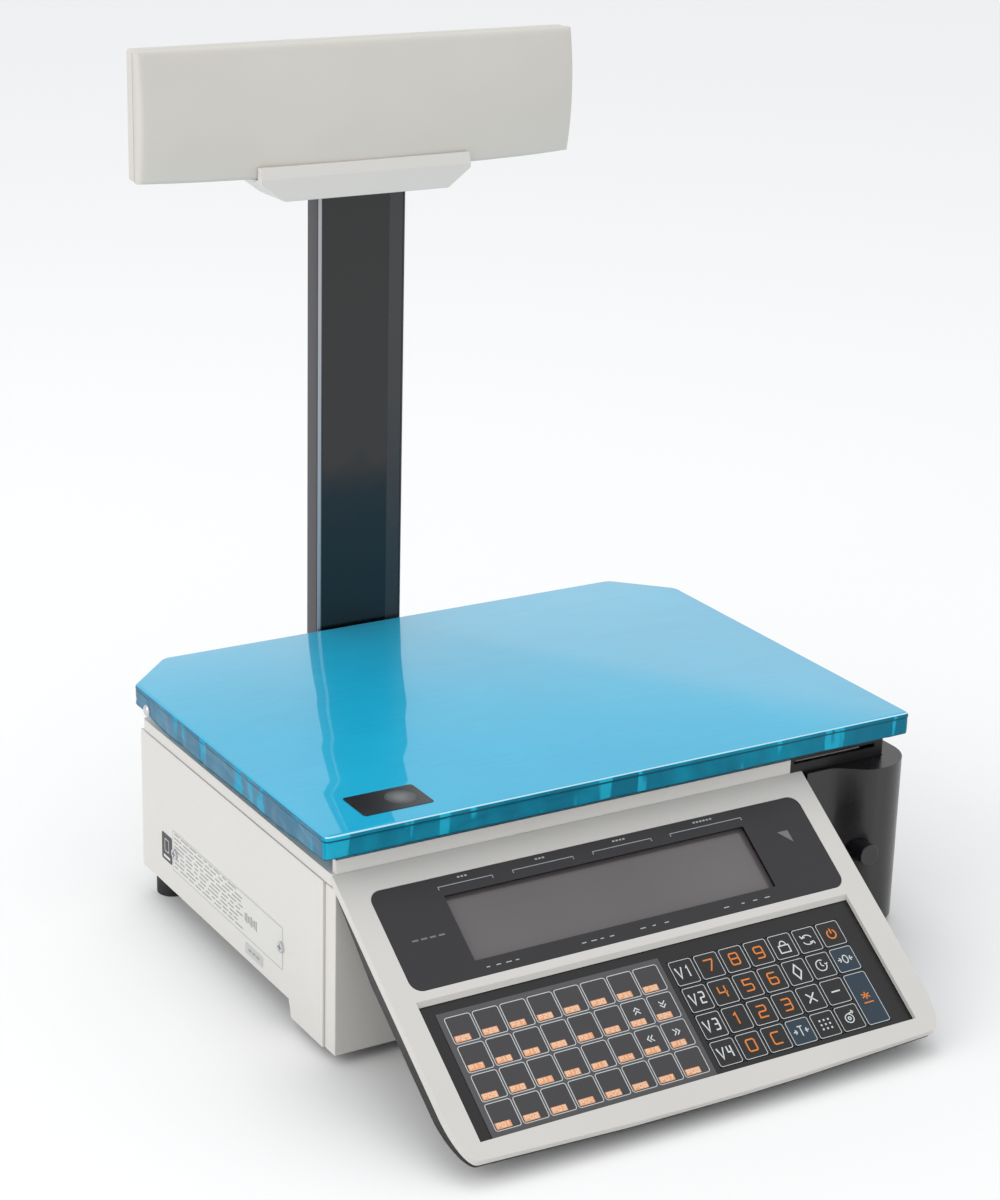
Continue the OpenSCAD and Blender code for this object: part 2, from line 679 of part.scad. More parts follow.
// Side plate, rear plate, roof with the outlet block, and the spindle of the label roll
module printer_frame() {
  roof_z = [106, 109];
  slot_x = [117, 175];
  nip_z = platen_c.y + platen_d / 2;
  color(BLACK) {
    difference() {
      union() {
        block([bay_left, -56, floor_z + gap], [bay_left + 3, bay_back, roof_z[1]]);
        block([bay_left, bay_back, 6], [192, bay_back + wall, roof_z[1]]);
        block([bay_left, block_y[1], roof_z[0]], [block_x[1], bay_back, roof_z[1]]);
        block([block_x[0], block_y[0], block_z[0]], [block_x[1], block_y[1], block_z[1]]);
        block([bay_left, block_y[0], 8], [door_left - 1, -54.5, block_z[0] + 1]);
        // Upper ear of the door hinge
        block([175, door_hinge.y - 5.5, roof_z[0]], [door_hinge.x, door_hinge.y + 2, roof_z[1]]);
        translate([door_hinge.x, door_hinge.y, roof_z[0]]) cylinder(h = 3, r = 5.5, $fn = FINE);
      }
      translate([door_hinge.x, door_hinge.y, 60]) cylinder(h = 60, r = hinge_r + play, $fn = FINE);
      rod_x(bay_left - 1, block_x[1] + 1, platen_c, 2.5 + play);
      // Room for the platen and the print head behind the outlet slot
      block([slot_x[0] - 1, block_y[0] + 3, 90], [slot_x[1] + 1, block_y[1] + 1, block_z[1] - 1.2]);
      block([slot_x[0], block_y[0] - 1, nip_z - 1.2], [slot_x[1], block_y[0] + 5, nip_z + 1.2]);
      // Service opening in the roof, over the label roll
      block([bay_left + 8, roll_c.x - 50, 100], [block_x[1] - 8, roll_c.x + 50, 120]);
    }
    rod_x(bay_left + 3, bay_left + 6 + roll_w, roll_c, 12);
    rod_x(bay_left + 3, bay_left + 4.5, roll_c, 26);
  }
}

// Heated print bar over the platen
module print_head() {
  color("#9a9ca0") block([119, block_y[0] + 8, platen_c.y + platen_d / 2 + 0.3], [173, block_y[1] - 3, 116.6]);
  color("#3a3a3c") block([122, block_y[0] + 11, 116.6], [170, block_y[1] - 6, 117.5]);
}

// Rubber roller on a steel shaft
module platen_roller() {
  color("#2a2a2a") rod_x(119, 173, platen_c, platen_d / 2);
  color(STEEL) {
    rod_x(bay_left, 119, platen_c, 2.5);
    rod_x(173, block_x[1] + 0.5, platen_c, 2.5);
  }
}

module label_roll() {
  x0 = bay_left + 5.5;
  color("#f2f1ec") difference() {
    rod_x(x0, x0 + roll_w, roll_c, roll_d / 2);
    rod_x(x0 - 1, x0 + roll_w + 1, roll_c, 12 + gap);
  }
}

// Rubber pad with a threaded stud
module foot(place) {
  color("#1b1b1b") translate([place.x, place.y, 0]) {
    cylinder(h = 11, r = foot_d / 2, $fn = FINE);
    translate([0, 0, 11]) cylinder(h = 1.6, r = foot_d / 2 - 4, $fn = FINE);
  }
  color(STEEL) translate([place.x, place.y, 12.6]) cylinder(h = 24, r = stud_d / 2, $fn = FINE);
}

module foot_rear_left() foot(feet[0]);
module foot_rear_right() foot(feet[1]);
module foot_front_left() foot(feet[2]);
module foot_front_right() foot(feet[3]);

base_chassis();
main_housing();
front_panel();
top_cover();
load_cell();
main_board();
power_supply();
power_inlet();
power_switch();
console_shell();
console_bottom();
display_window();
operator_lcd();
key_overlay();
preset_card();
pole();
head_cradle();
head_operator_shell();
head_customer_shell();
customer_display();
case_screws();
printer_frame();
print_head();
platter_support();
platter();
printer_door();
release_button();
label_roll();
platen_roller();
foot_front_left();
foot_front_right();
foot_rear_left();
foot_rear_right();
for (k = FUNCTION_KEYS) function_key(k);
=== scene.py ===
"""Looks of the retail price scale: materials, film, printed keys, windows, stickers, light and camera."""

import json
import math
import random

import bmesh
import bpy
from mathutils import Matrix, Vector, noise

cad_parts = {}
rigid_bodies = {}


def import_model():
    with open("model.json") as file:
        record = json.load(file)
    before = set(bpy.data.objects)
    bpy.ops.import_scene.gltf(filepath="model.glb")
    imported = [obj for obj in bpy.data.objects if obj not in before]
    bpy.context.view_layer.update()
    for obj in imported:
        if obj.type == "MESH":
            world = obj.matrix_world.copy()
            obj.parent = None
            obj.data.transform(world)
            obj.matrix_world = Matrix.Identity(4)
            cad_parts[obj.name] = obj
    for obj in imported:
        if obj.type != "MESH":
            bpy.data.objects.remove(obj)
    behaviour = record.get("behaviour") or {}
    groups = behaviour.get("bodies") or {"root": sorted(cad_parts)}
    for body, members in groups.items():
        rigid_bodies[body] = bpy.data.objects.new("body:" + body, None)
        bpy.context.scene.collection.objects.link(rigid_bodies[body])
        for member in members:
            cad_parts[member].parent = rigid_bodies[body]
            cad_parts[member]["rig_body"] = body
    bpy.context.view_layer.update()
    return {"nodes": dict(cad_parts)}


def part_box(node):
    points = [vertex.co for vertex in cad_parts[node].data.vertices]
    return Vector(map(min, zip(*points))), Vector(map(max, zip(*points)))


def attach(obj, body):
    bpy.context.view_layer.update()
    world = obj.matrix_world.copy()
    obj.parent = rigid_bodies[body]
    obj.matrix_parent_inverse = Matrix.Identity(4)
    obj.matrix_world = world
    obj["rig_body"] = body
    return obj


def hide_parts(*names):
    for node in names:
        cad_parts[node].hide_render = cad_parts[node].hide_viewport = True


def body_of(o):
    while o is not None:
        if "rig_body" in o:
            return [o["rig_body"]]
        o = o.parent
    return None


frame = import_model()

MM = 0.001
random.seed(7)

# ---------------------------------------------------------------- frame places
# Console places are in millimetres: X across, S down the slope from its top, N above its face.

CONSOLE_TILT = math.radians(34)
CONSOLE_TOP = Vector((0, -0.067, 0.111))
DECK_N = -3.0
KEY_PITCH = (16.2, 16.65)
KEY_SIZE = (14.8, 15.2)
KEYS_LOW = (-25.6, 93.4)
WINDOW_X = (-172.3, 102.4)
WINDOW_S = (14.2, 76.2)
LCD_X = (-132.9, 61.0)
LCD_S = (24.9, 67.4)
CARD_X = (-164.9, -29.5)
CARD_S = (89.4, 162.0)

console_matrix = Matrix.Translation(CONSOLE_TOP) @ Matrix.Rotation(CONSOLE_TILT, 4, "X")


# ---------------------------------------------------------------- materials


def new_material(name):
    material = bpy.data.materials.new(name)
    material.use_nodes = True
    tree = material.node_tree
    return material, tree, tree.nodes["Principled BSDF"]


def node(tree, kind, **values):
    made = tree.nodes.new(kind)
    for key, value in values.items():
        if key in made.inputs:
            made.inputs[key].default_value = value
        else:
            setattr(made, key, value)
    return made


def object_noise(tree, scale, detail=4.0, stretch=(1, 1, 1), rough=0.55):
    """Noise in the object's own metres, stretched along an axis for brushed or folded surfaces."""
    coord = node(tree, "ShaderNodeTexCoord")
    mapping = node(tree, "ShaderNodeMapping")
    mapping.inputs["Scale"].default_value = stretch
    tree.links.new(coord.outputs["Object"], mapping.inputs["Vector"])
    texture = node(tree, "ShaderNodeTexNoise", Scale=scale, Detail=detail, Roughness=rough)
    tree.links.new(mapping.outputs["Vector"], texture.inputs["Vector"])
    return texture


def ramp(tree, source, low, high, dark, light):
    """Colour ramp between two positions of a 0-1 source."""
    made = node(tree, "ShaderNodeValToRGB")
    made.color_ramp.elements[0].position = low
    made.color_ramp.elements[1].position = high
    made.color_ramp.elements[0].color = (*dark, 1)
    made.color_ramp.elements[1].color = (*light, 1)
    tree.links.new(source, made.inputs["Fac"])
    return made.outputs["Color"]


def map_range(tree, source, low, high, to_low, to_high):
    made = node(tree, "ShaderNodeMapRange")
    made.inputs["From Min"].default_value = low
    made.inputs["From Max"].default_value = high
    made.inputs["To Min"].default_value = to_low
    made.inputs["To Max"].default_value = to_high
    tree.links.new(source, made.inputs["Value"])
    return made.outputs["Result"]


def add_bump(tree, shader, source, strength, distance, socket="Normal"):
    bump = node(tree, "ShaderNodeBump", Strength=strength, Distance=distance)
    tree.links.new(source, bump.inputs["Height"])
    if shader.inputs[socket].links:
        tree.links.new(shader.inputs[socket].links[0].from_socket, bump.inputs["Normal"])
    tree.links.new(bump.outputs["Normal"], shader.inputs[socket])


def shade(colour, factor):
    return tuple(min(1.0, c * factor) for c in colour)


def moulded(name, colour, rough, grain, depth, mottle=0.03, coat=0.0, specular=0.5):
    """Moulded plastic: a fine eroded grain, slight mottling of colour and of gloss."""
    material, tree, shader = new_material(name)
    shader.inputs["Specular IOR Level"].default_value = specular
    shader.inputs["Coat Weight"].default_value = coat
    shader.inputs["Coat Roughness"].default_value = 0.08
    broad = object_noise(tree, 9.0, 3.0)
    tint = ramp(tree, broad.outputs["Fac"], 0.3, 0.7, shade(colour, 1 - mottle), shade(colour, 1 + mottle))
    tree.links.new(tint, shader.inputs["Base Color"])
    handled = object_noise(tree, 45.0, 5.0)
    gloss = map_range(tree, handled.outputs["Fac"], 0.3, 0.7, rough - 0.05, rough + 0.06)
    tree.links.new(gloss, shader.inputs["Roughness"])
    fine = object_noise(tree, grain, 2.0)
    add_bump(tree, shader, fine.outputs["Fac"], depth, 0.0003)
    return material


def brushed(name, colour, rough, stretch, depth=0.15, metallic=1.0):
    """Brushed or drawn metal, with streaks along the short axis of stretch."""
    material, tree, shader = new_material(name)
    shader.inputs["Metallic"].default_value = metallic
    streak = object_noise(tree, 60.0, 8.0, stretch, 0.7)
    tint = ramp(tree, streak.outputs["Fac"], 0.25, 0.75, shade(colour, 0.86), shade(colour, 1.08))
    tree.links.new(tint, shader.inputs["Base Color"])
    gloss = map_range(tree, streak.outputs["Fac"], 0.2, 0.8, rough - 0.06, rough + 0.1)
    tree.links.new(gloss, shader.inputs["Roughness"])
    add_bump(tree, shader, streak.outputs["Fac"], depth, 0.0001)
    return material


def printed(name, colour, rough=0.45, speck=0.04):
    """Ink or a label film: even colour with a faint speckle."""
    return moulded(name, colour, rough, 2600.0, 0.05, speck)


cream = moulded("cream_plastic", (0.68, 0.66, 0.63), 0.45, 1900.0, 0.16, 0.015)
cream_console = moulded("cream_console", (0.64, 0.62, 0.59), 0.42, 1900.0, 0.16, 0.015)
cream_head = moulded("cream_plastic_head", (0.61, 0.585, 0.54), 0.42, 1900.0, 0.10, 0.03)
black = moulded("black_plastic", (0.013, 0.012, 0.014), 0.27, 1500.0, 0.14, 0.10, specular=0.6)
black_shell = moulded("black_shell", (0.008, 0.008, 0.009), 0.42, 1500.0, 0.2, 0.10, specular=0.35)
rubber = moulded("foot_rubber", (0.012, 0.012, 0.012), 0.62, 900.0, 0.35, 0.2)
board = moulded("board_mask", (0.02, 0.13, 0.06), 0.28, 700.0, 0.3, 0.15)
aluminium = brushed("machined_aluminium", (0.72, 0.73, 0.74), 0.30, (30, 1, 30))
casting = moulded("painted_casting", (0.30, 0.31, 0.33), 0.42, 420.0, 0.5, 0.08)
zinc = brushed("zinc_steel", (0.66, 0.66, 0.68), 0.28, (4, 4, 4))
dark_glass = moulded("dark_glass", (0.006, 0.006, 0.008), 0.12, 600.0, 0.02, 0.05)
window_ink = printed("window_ink", (0.016, 0.015, 0.018), 0.34)
membrane = printed("membrane_ink", (0.007, 0.0065, 0.008), 0.36)
key_ink = printed("key_ink", (0.007, 0.0065, 0.008), 0.32)
field_ink = printed("field_ink", (0.040, 0.038, 0.041), 0.32)
key_blue = printed("key_blue_ink", (0.010, 0.030, 0.050), 0.34)
card_ink = printed("card_ink", (0.075, 0.073, 0.077), 0.40)
line_ink = printed("line_ink", (0.58, 0.61, 0.62), 0.5)
white_ink = printed("white_ink", (0.66, 0.70, 0.72), 0.5)
soft_ink = printed("soft_ink", (0.42, 0.45, 0.46), 0.5)
grey_ink = printed("grey_ink", (0.16, 0.17, 0.18), 0.5)
orange_ink = printed("orange_ink", (0.78, 0.22, 0.02), 0.5)
tag_ink = printed("tag_ink", (0.80, 0.36, 0.17), 0.5)
tag_light = printed("tag_light", (0.86, 0.66, 0.50), 0.5)
label_paper = printed("label_paper", (0.78, 0.77, 0.72), 0.7)


def film_material():
    """Blue transport film stretched over brushed steel: glossy, with brush lines, haze and small creases."""
    material, tree, shader = new_material("film_steel")
    shader.inputs["Metallic"].default_value = 0.0
    shader.inputs["Roughness"].default_value = 0.32
    shader.inputs["Coat Weight"].default_value = 1.0
    shader.inputs["Coat Roughness"].default_value = 0.035
    shader.inputs["Coat IOR"].default_value = 1.6
    lines = object_noise(tree, 42.0, 8.0, (0.6, 22, 1), 0.72)
    haze = object_noise(tree, 7.0, 4.0)
    base = ramp(tree, lines.outputs["Fac"], 0.25, 0.75, (0.0, 0.33, 0.56), (0.004, 0.50, 0.78))
    cloud = ramp(tree, haze.outputs["Fac"], 0.35, 0.75, (0.0, 0.39, 0.63), (0.008, 0.49, 0.76))
    shader.inputs["Specular IOR Level"].default_value = 0.1
    mix = node(tree, "ShaderNodeMix", data_type="RGBA")
    mix.inputs["Factor"].default_value = 0.45
    tree.links.new(base, mix.inputs["A"])
    tree.links.new(cloud, mix.inputs["B"])
    tree.links.new(mix.outputs["Result"], shader.inputs["Base Color"])
    add_bump(tree, shader, lines.outputs["Fac"], 0.05, 0.0001)
    crease = object_noise(tree, 14.0, 3.0, (1, 2.2, 1))
    add_bump(tree, shader, crease.outputs["Fac"], 0.0007, 0.002, "Coat Normal")
    return material


film = film_material()


def skirt_material(name, plain, shown, creased):
    """The film where it is folded over the skirt: steel shows through between cyan creases."""
    material, tree, shader = new_material(name)
    shader.inputs["Roughness"].default_value = 0.30
    shader.inputs["Specular IOR Level"].default_value = 0.12
    patches = object_noise(tree, 34.0, 3.0, (1.0, 1.0, 0.5))
    colour = ramp(tree, patches.outputs["Fac"], 0.40, 0.66, plain, shown)
    ridge = object_noise(tree, 85.0, 2.0, (1.0, 1.0, 0.16))
    line = ramp(tree, ridge.outputs["Fac"], 0.59, 0.64, (0, 0, 0), (1, 1, 1))
    mix = node(tree, "ShaderNodeMix", data_type="RGBA")
    tree.links.new(line, mix.inputs["Factor"])
    tree.links.new(colour, mix.inputs["A"])
    mix.inputs["B"].default_value = (*creased, 1)
    tree.links.new(mix.outputs["Result"], shader.inputs["Base Color"])
    folds = object_noise(tree, 70.0, 4.0, (1.0, 1.0, 0.35))
    add_bump(tree, shader, folds.outputs["Fac"], 0.4, 0.0008)
    return material


film_skirt = skirt_material("film_skirt", (0.0, 0.16, 0.26), (0.0, 0.25, 0.38), (0.01, 0.40, 0.58))
film_shaded = moulded("film_shaded", (0.0, 0.085, 0.135), 0.34, 900.0, 0.1, 0.15, specular=0.15)
# Pale cyan-white film colour on the front of the rolled edge: painted highlight along the fold
film_fold_highlight = moulded("film_fold_highlight", (0.50, 0.78, 0.88), 0.30, 900.0, 0.1, 0.08)
film_side = skirt_material("film_side", (0.045, 0.16, 0.26), (0.08, 0.23, 0.34), (0.0, 0.31, 0.50))


def display_glass():
    """Grey reflective display glass behind the window, a little lighter to one end."""
    material, tree, shader = new_material("operator_glass")
    shader.inputs["Roughness"].default_value = 0.22
    shader.inputs["Coat Weight"].default_value = 0.5
    shader.inputs["Coat Roughness"].default_value = 0.1
    drift = object_noise(tree, 6.0, 2.0)
    colour = ramp(tree, drift.outputs["Fac"], 0.3, 0.7, (0.098, 0.086, 0.090), (0.128, 0.115, 0.119))
    tree.links.new(colour, shader.inputs["Base Color"])
    dots = object_noise(tree, 1800.0, 1.0)
    add_bump(tree, shader, dots.outputs["Fac"], 0.05, 0.0001)
    return material


operator_glass = display_glass()

# ---------------------------------------------------------------- mesh helpers


def finish_piece(obj, body, material, smooth=35):
    """Gives a new mesh its material, shading and body."""
    if material is not None:
        obj.data.materials.clear()
        obj.data.materials.append(material)
    obj.data.shade_smooth()
    obj.data.set_sharp_from_angle(angle=math.radians(smooth))
    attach(obj, body)
    return obj


def object_from_bmesh(name, bm):
    mesh = bpy.data.meshes.new(name)
    bmesh.ops.recalc_face_normals(bm, faces=bm.faces)
    bm.to_mesh(mesh)
    bm.free()
    obj = bpy.data.objects.new(name, mesh)
    bpy.context.scene.collection.objects.link(obj)
    return obj


def body_of_node(name):
    return body_of(frame["nodes"][name])[0]


def softened(cad_node, material, width, segments=3, chooser=None, angle=25):
    """A copy of a CAD node with rounded edges. chooser gives each edge's share of width, from 0 to 1."""
    bm = bmesh.new()
    bm.from_mesh(frame["nodes"][cad_node].data)
    bmesh.ops.remove_doubles(bm, verts=bm.verts, dist=2e-6)
    bmesh.ops.dissolve_limit(bm, angle_limit=math.radians(1.0), verts=bm.verts, edges=bm.edges)
    weights = bm.edges.layers.float.new("bevel_weight_edge")
    for edge in bm.edges:
        if len(edge.link_faces) != 2 or edge.calc_face_angle(0) < math.radians(angle):
            continue
        edge[weights] = 1.0 if chooser is None else chooser(edge)
    obj = object_from_bmesh(cad_node + "_soft", bm)
    modifier = obj.modifiers.new("rounding", "BEVEL")
    modifier.limit_method = "WEIGHT"
    modifier.width = width
    modifier.segments = segments
    modifier.harden_normals = True
    modifier.use_clamp_overlap = True
    finish_piece(obj, body_of_node(cad_node), material, 30)
    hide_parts(cad_node)
    return obj


def repaint(cad_node, material):
    data = frame["nodes"][cad_node].data
    data.materials.clear()
    data.materials.append(material)


def rounded_loop(low, high, r, steps=5):
    """Points round a rectangle with round corners, anticlockwise from the lower right."""
    centres = [(high[0] - r, low[1] + r, -90), (high[0] - r, high[1] - r, 0),
               (low[0] + r, high[1] - r, 90), (low[0] + r, low[1] + r, 180)]
    points = []
    for cx, cy, start in centres:
        for i in range(steps + 1):
            a = math.radians(start + 90 * i / steps)
            points.append((cx + r * math.cos(a), cy + r * math.sin(a)))
    return points


def add_prism(bm, loop, low, high, place):
    """A closed flat prism between two heights, placed by a function of local x, y and z."""
    rings = [[bm.verts.new(place(x, y, z)) for x, y in loop] for z in (low, high)]
    bm.faces.new(rings[0][::-1])
    bm.faces.new(rings[1])
    for i in range(len(loop)):
        k = (i + 1) % len(loop)
        bm.faces.new((rings[0][i], rings[0][k], rings[1][k], rings[1][i]))


def add_stroke(bm, points, width, base, place, closed=False, height=0.12):
    """A printed line: a thin closed ribbon along points, with mitred corners."""
    count = len(points)
    sides = []
    for i, point in enumerate(points):
        p = Vector(point)
        before = Vector(points[i - 1]) if (i or closed) else None
        after = Vector(points[(i + 1) % count]) if (i < count - 1 or closed) else None
        into = (p - before).normalized() if before is not None else (after - p).normalized()
        out = (after - p).normalized() if after is not None else into
        middle = into + out
        middle = middle.normalized() if middle.length > 1e-6 else into
        normal = Vector((-middle.y, middle.x))
        stretch = 1 / max(0.5, normal.dot(Vector((-into.y, into.x))))
        sides.append((p + normal * width / 2 * stretch, p - normal * width / 2 * stretch))
    rings = []
    for left, right in sides:
        rings.append([bm.verts.new(place(left.x, left.y, base)), bm.verts.new(place(right.x, right.y, base)),
                      bm.verts.new(place(right.x, right.y, base + height)),
                      bm.verts.new(place(left.x, left.y, base + height))])
    spans = count if closed else count - 1
    for i in range(spans):
        a, b = rings[i], rings[(i + 1) % count]
        for j in range(4):
            k = (j + 1) % 4
            bm.faces.new((a[j], b[j], b[k], a[k]))
    if not closed:
        bm.faces.new(rings[0])
        bm.faces.new(rings[-1][::-1])


def console_place(x, y, z):
    """Local console place: x across, y up the slope as negative distance, z above the face."""
    return console_matrix @ Vector((x * MM, y * MM, z * MM))


# ---------------------------------------------------------------- camera and light


def build_camera():
    """Camera in front, to the left and above, fitted to the edges of the platter, pole, console and head."""
    azimuth, elevation, roll = math.radians(-31.51), math.radians(19.80), math.radians(1.69)
    place = (-0.7855, -1.2258, 0.7298)
    back = Vector((math.sin(azimuth) * math.cos(elevation), -math.cos(azimuth) * math.cos(elevation),
                   math.sin(elevation)))
    right = Vector((0, 0, 1)).cross(back).normalized()
    up = back.cross(right)
    basis = Matrix((right, up, back)).transposed().to_4x4()
    data = bpy.data.cameras.new("camera")
    data.sensor_width = 36
    data.lens = 82.9
    data.shift_x = -0.0193
    data.shift_y = 0.0072
    data.clip_end = 20
    camera = bpy.data.objects.new("camera", data)
    camera.matrix_world = Matrix.Translation(place) @ basis @ Matrix.Rotation(roll, 4, "Z")
    bpy.context.scene.collection.objects.link(camera)
    bpy.context.scene.camera = camera


def area_light(name, place, target, size, power, colour=(1, 1, 1)):
    data = bpy.data.lights.new(name, "AREA")
    data.shape = "RECTANGLE"
    data.size, data.size_y = size
    data.energy = power
    data.color = colour
    light = bpy.data.objects.new(name, data)
    light.location = place
    light.rotation_euler = (Vector(target) - Vector(place)).to_track_quat("-Z", "Y").to_euler()
    bpy.context.scene.collection.objects.link(light)


def build_studio():
    world = bpy.data.worlds.new("studio")
    world.use_nodes = True
    background = world.node_tree.nodes["Background"]
    background.inputs["Color"].default_value = (0.98, 0.99, 1.0, 1)
    background.inputs["Strength"].default_value = 0.92
    bpy.context.scene.world = world
    middle = (0, 0, 0.2)
    area_light("key", (-2.2, -0.1, 1.3), middle, (1.6, 1.6), 13, (1, 0.985, 0.96))
    area_light("top", (0.1, 0.5, 2.6), middle, (1.2, 1.2), 7)
    bm = bmesh.new()
    bmesh.ops.create_grid(bm, x_segments=8, y_segments=8, size=6)
    floor = object_from_bmesh("floor", bm)
    material, tree, shader = new_material("floor_paper")
    shader.inputs["Base Color"].default_value = (0.94, 0.94, 0.94, 1)
    shader.inputs["Roughness"].default_value = 0.85
    floor.data.materials.append(material)
    bpy.context.scene.view_settings.view_transform = "Standard"


build_camera()
build_studio()

# ---------------------------------------------------------------- body covers


for cad_node, width in (("main_housing", 0.7), ("front_panel", 0.6), ("top_cover", 1.0), ("head_cradle", 0.5)):
    softened(cad_node, cream, width * MM)

for cad_node in ("base_chassis", "printer_frame"):
    softened(cad_node, black_shell, 0.4 * MM, 2)
softened("power_inlet", black_shell, 0.4 * MM, 2)
softened("power_switch", dark_glass, 0.4 * MM, 2)
softened("console_bottom", black_shell, 0.8 * MM)
softened("printer_door", black, 1.3 * MM, 5,
         lambda edge: 1.0 if min(v.co.z for v in edge.verts) > 0.1035 else 0.4, 40)
softened("release_button", black, 0.8 * MM)
softened("load_cell", aluminium, 0.5 * MM, 2)
softened("platter_support", casting, 1.2 * MM)
softened("main_board", board, 0.15 * MM, 2)
softened("power_supply", zinc, 0.4 * MM, 2)
softened("case_screws", zinc, 0.25 * MM, 2)
softened("print_head", dark_glass, 0.3 * MM, 2)
for corner in ("front_left", "front_right", "rear_left", "rear_right"):
    softened("foot_" + corner, rubber, 0.8 * MM)
repaint("label_roll", label_paper)
repaint("platen_roller", rubber)


def console_shell_piece():
    """Cream console top: its outer edge is rolled over, and its recesses keep crisp corners."""
    def choose(edge):
        middle = console_matrix.inverted() @ ((edge.verts[0].co + edge.verts[1].co) / 2) / MM
        outer = middle.x < -175 or middle.x > 101.5 or middle.y < -166
        if outer and middle.z > -1:
            return 1.0
        if outer:
            return 0.12
        if middle.z > -0.4:
            return 0.12
        return 0.0
    softened("console_shell", cream_console, 3.2 * MM, 5, choose)


console_shell_piece()

# ---------------------------------------------------------------- platter in its film


def platter_piece():
    """Tray with a rolled edge. The film over its skirt is pulled into folds, and lies smooth on top."""
    low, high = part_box("platter")
    cut = 0.0323
    corner_r = 0.004
    corner_steps = 6
    corners = [(low.x, low.y), (high.x, low.y), (high.x, high.y - cut), (high.x - cut, high.y),
               (low.x + cut, high.y), (low.x, high.y - cut)]
    outline = []
    for i, corner in enumerate(corners):
        p = Vector(corner)
        a = (Vector(corners[i - 1]) - p).normalized()
        b = (Vector(corners[(i + 1) % len(corners)]) - p).normalized()
        for j in range(corner_steps + 1):
            t = j / corner_steps
            outline.append(p + a * corner_r * (1 - t) ** 2 + b * corner_r * t ** 2)
    step = 0.0022
    ring = []
    for i, p in enumerate(outline):
        q = outline[(i + 1) % len(outline)]
        parts = max(1, int((q - p).length / step))
        ring += [p.lerp(q, k / parts) for k in range(parts)]
    count = len(ring)
    normals = []
    for i in range(count):
        along = (ring[(i + 1) % count] - ring[i - 1]).normalized()
        normals.append(Vector((along.y, -along.x)))
    roll = 0.0022
    # Each ring of the profile: step outwards, height, share of the folds, and share of the hem
    profile = [(-roll * (1 - math.sin(math.radians(a))), high.z - roll * (1 - math.cos(math.radians(a))), 0.0, 0.0)
               for a in (0, 22.5, 45, 67.5, 90)]
    drop = high.z - roll - low.z
    profile += [(0.0, high.z - roll - drop * t, 1.0, 0.0) for t in (0.12, 0.25, 0.4, 0.55, 0.7, 0.85, 1.0)]
    profile += [(-0.0001, low.z, 1.0, 0.6), (-0.0002, low.z, 1.0, 1.0), (-0.0006, low.z, 0.6, 1.02),
                (-0.0013, low.z, 0.4, 0.0), (-0.0013, high.z - 0.0015, 0.0, 0.0)]

    def hem(p):
        """How far the film hangs below the skirt: most along the left side, away from its ends."""
        rear = max(0.0, min(1.0, (high.y - cut - 0.012 - p.y) / 0.03))
        front = max(0.0, min(1.0, (p.y - low.y) / 0.05))
        side = max(0.0, min(1.0, (low.x + 0.004 - p.x) / 0.004))
        slow = noise.noise(Vector((p.x * 22, p.y * 22, 3)))
        return (0.0012 * max(rear, 0.3) + 0.0030 * side * rear * front) * (1 + 0.25 * slow)

    # The strips just below the rolled edge and at the foot of the hem, which lie in shade
    shaded_levels = (4, 12, 13)
    bm = bmesh.new()
    rings = []
    for inset, z, folded, hang in profile:
        verts = []
        for p, out in zip(ring, normals):
            q = p + out * (inset - 0.0003 * (folded > 0))
            if folded:
                fold = noise.noise(Vector((q.x * 95, q.y * 95, z * 40)))
                crease = abs(noise.noise(Vector((q.x * 45 + 9, q.y * 45, z * 110))))
                q += out * folded * (0.0004 * fold - 0.0005 * max(0, 0.2 - crease) / 0.2)
                q -= out * max(0.0, (q - p).dot(out))
            verts.append(bm.verts.new((q.x, q.y, z - hang * hem(p))))
        rings.append(verts)
    shaded = []
    for level, (a, b) in enumerate(zip(rings, rings[1:])):
        for i in range(count):
            k = (i + 1) % count
            face = bm.faces.new((a[i], a[k], b[k], b[i]))
            if level in shaded_levels:
                shaded.append(face)
    bm.faces.index_update()
    shaded = {face.index for face in shaded}
    bm.faces.new(rings[0])
    bm.faces.new(rings[-1][::-1])
    obj = object_from_bmesh("platter_film", bm)
    finish_piece(obj, "platter", film, 60)
    for material in (film_skirt, film_side, film_fold_highlight, film_shaded):
        obj.data.materials.append(material)
    for face in obj.data.polygons:
        if len(face.vertices) == 4 and abs(face.normal.z) < 0.75:
            face.material_index = 2 if abs(face.normal.x) > 0.7 else 1
        # Rolled-edge faces tilted to the front take the pale film colour, a painted highlight along the fold
        if face.normal.y < -0.3 and 0.75 < face.normal.z < 0.93:
            face.material_index = 3
        if face.index in shaded:
            face.material_index = 4
    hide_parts("platter")


platter_piece()


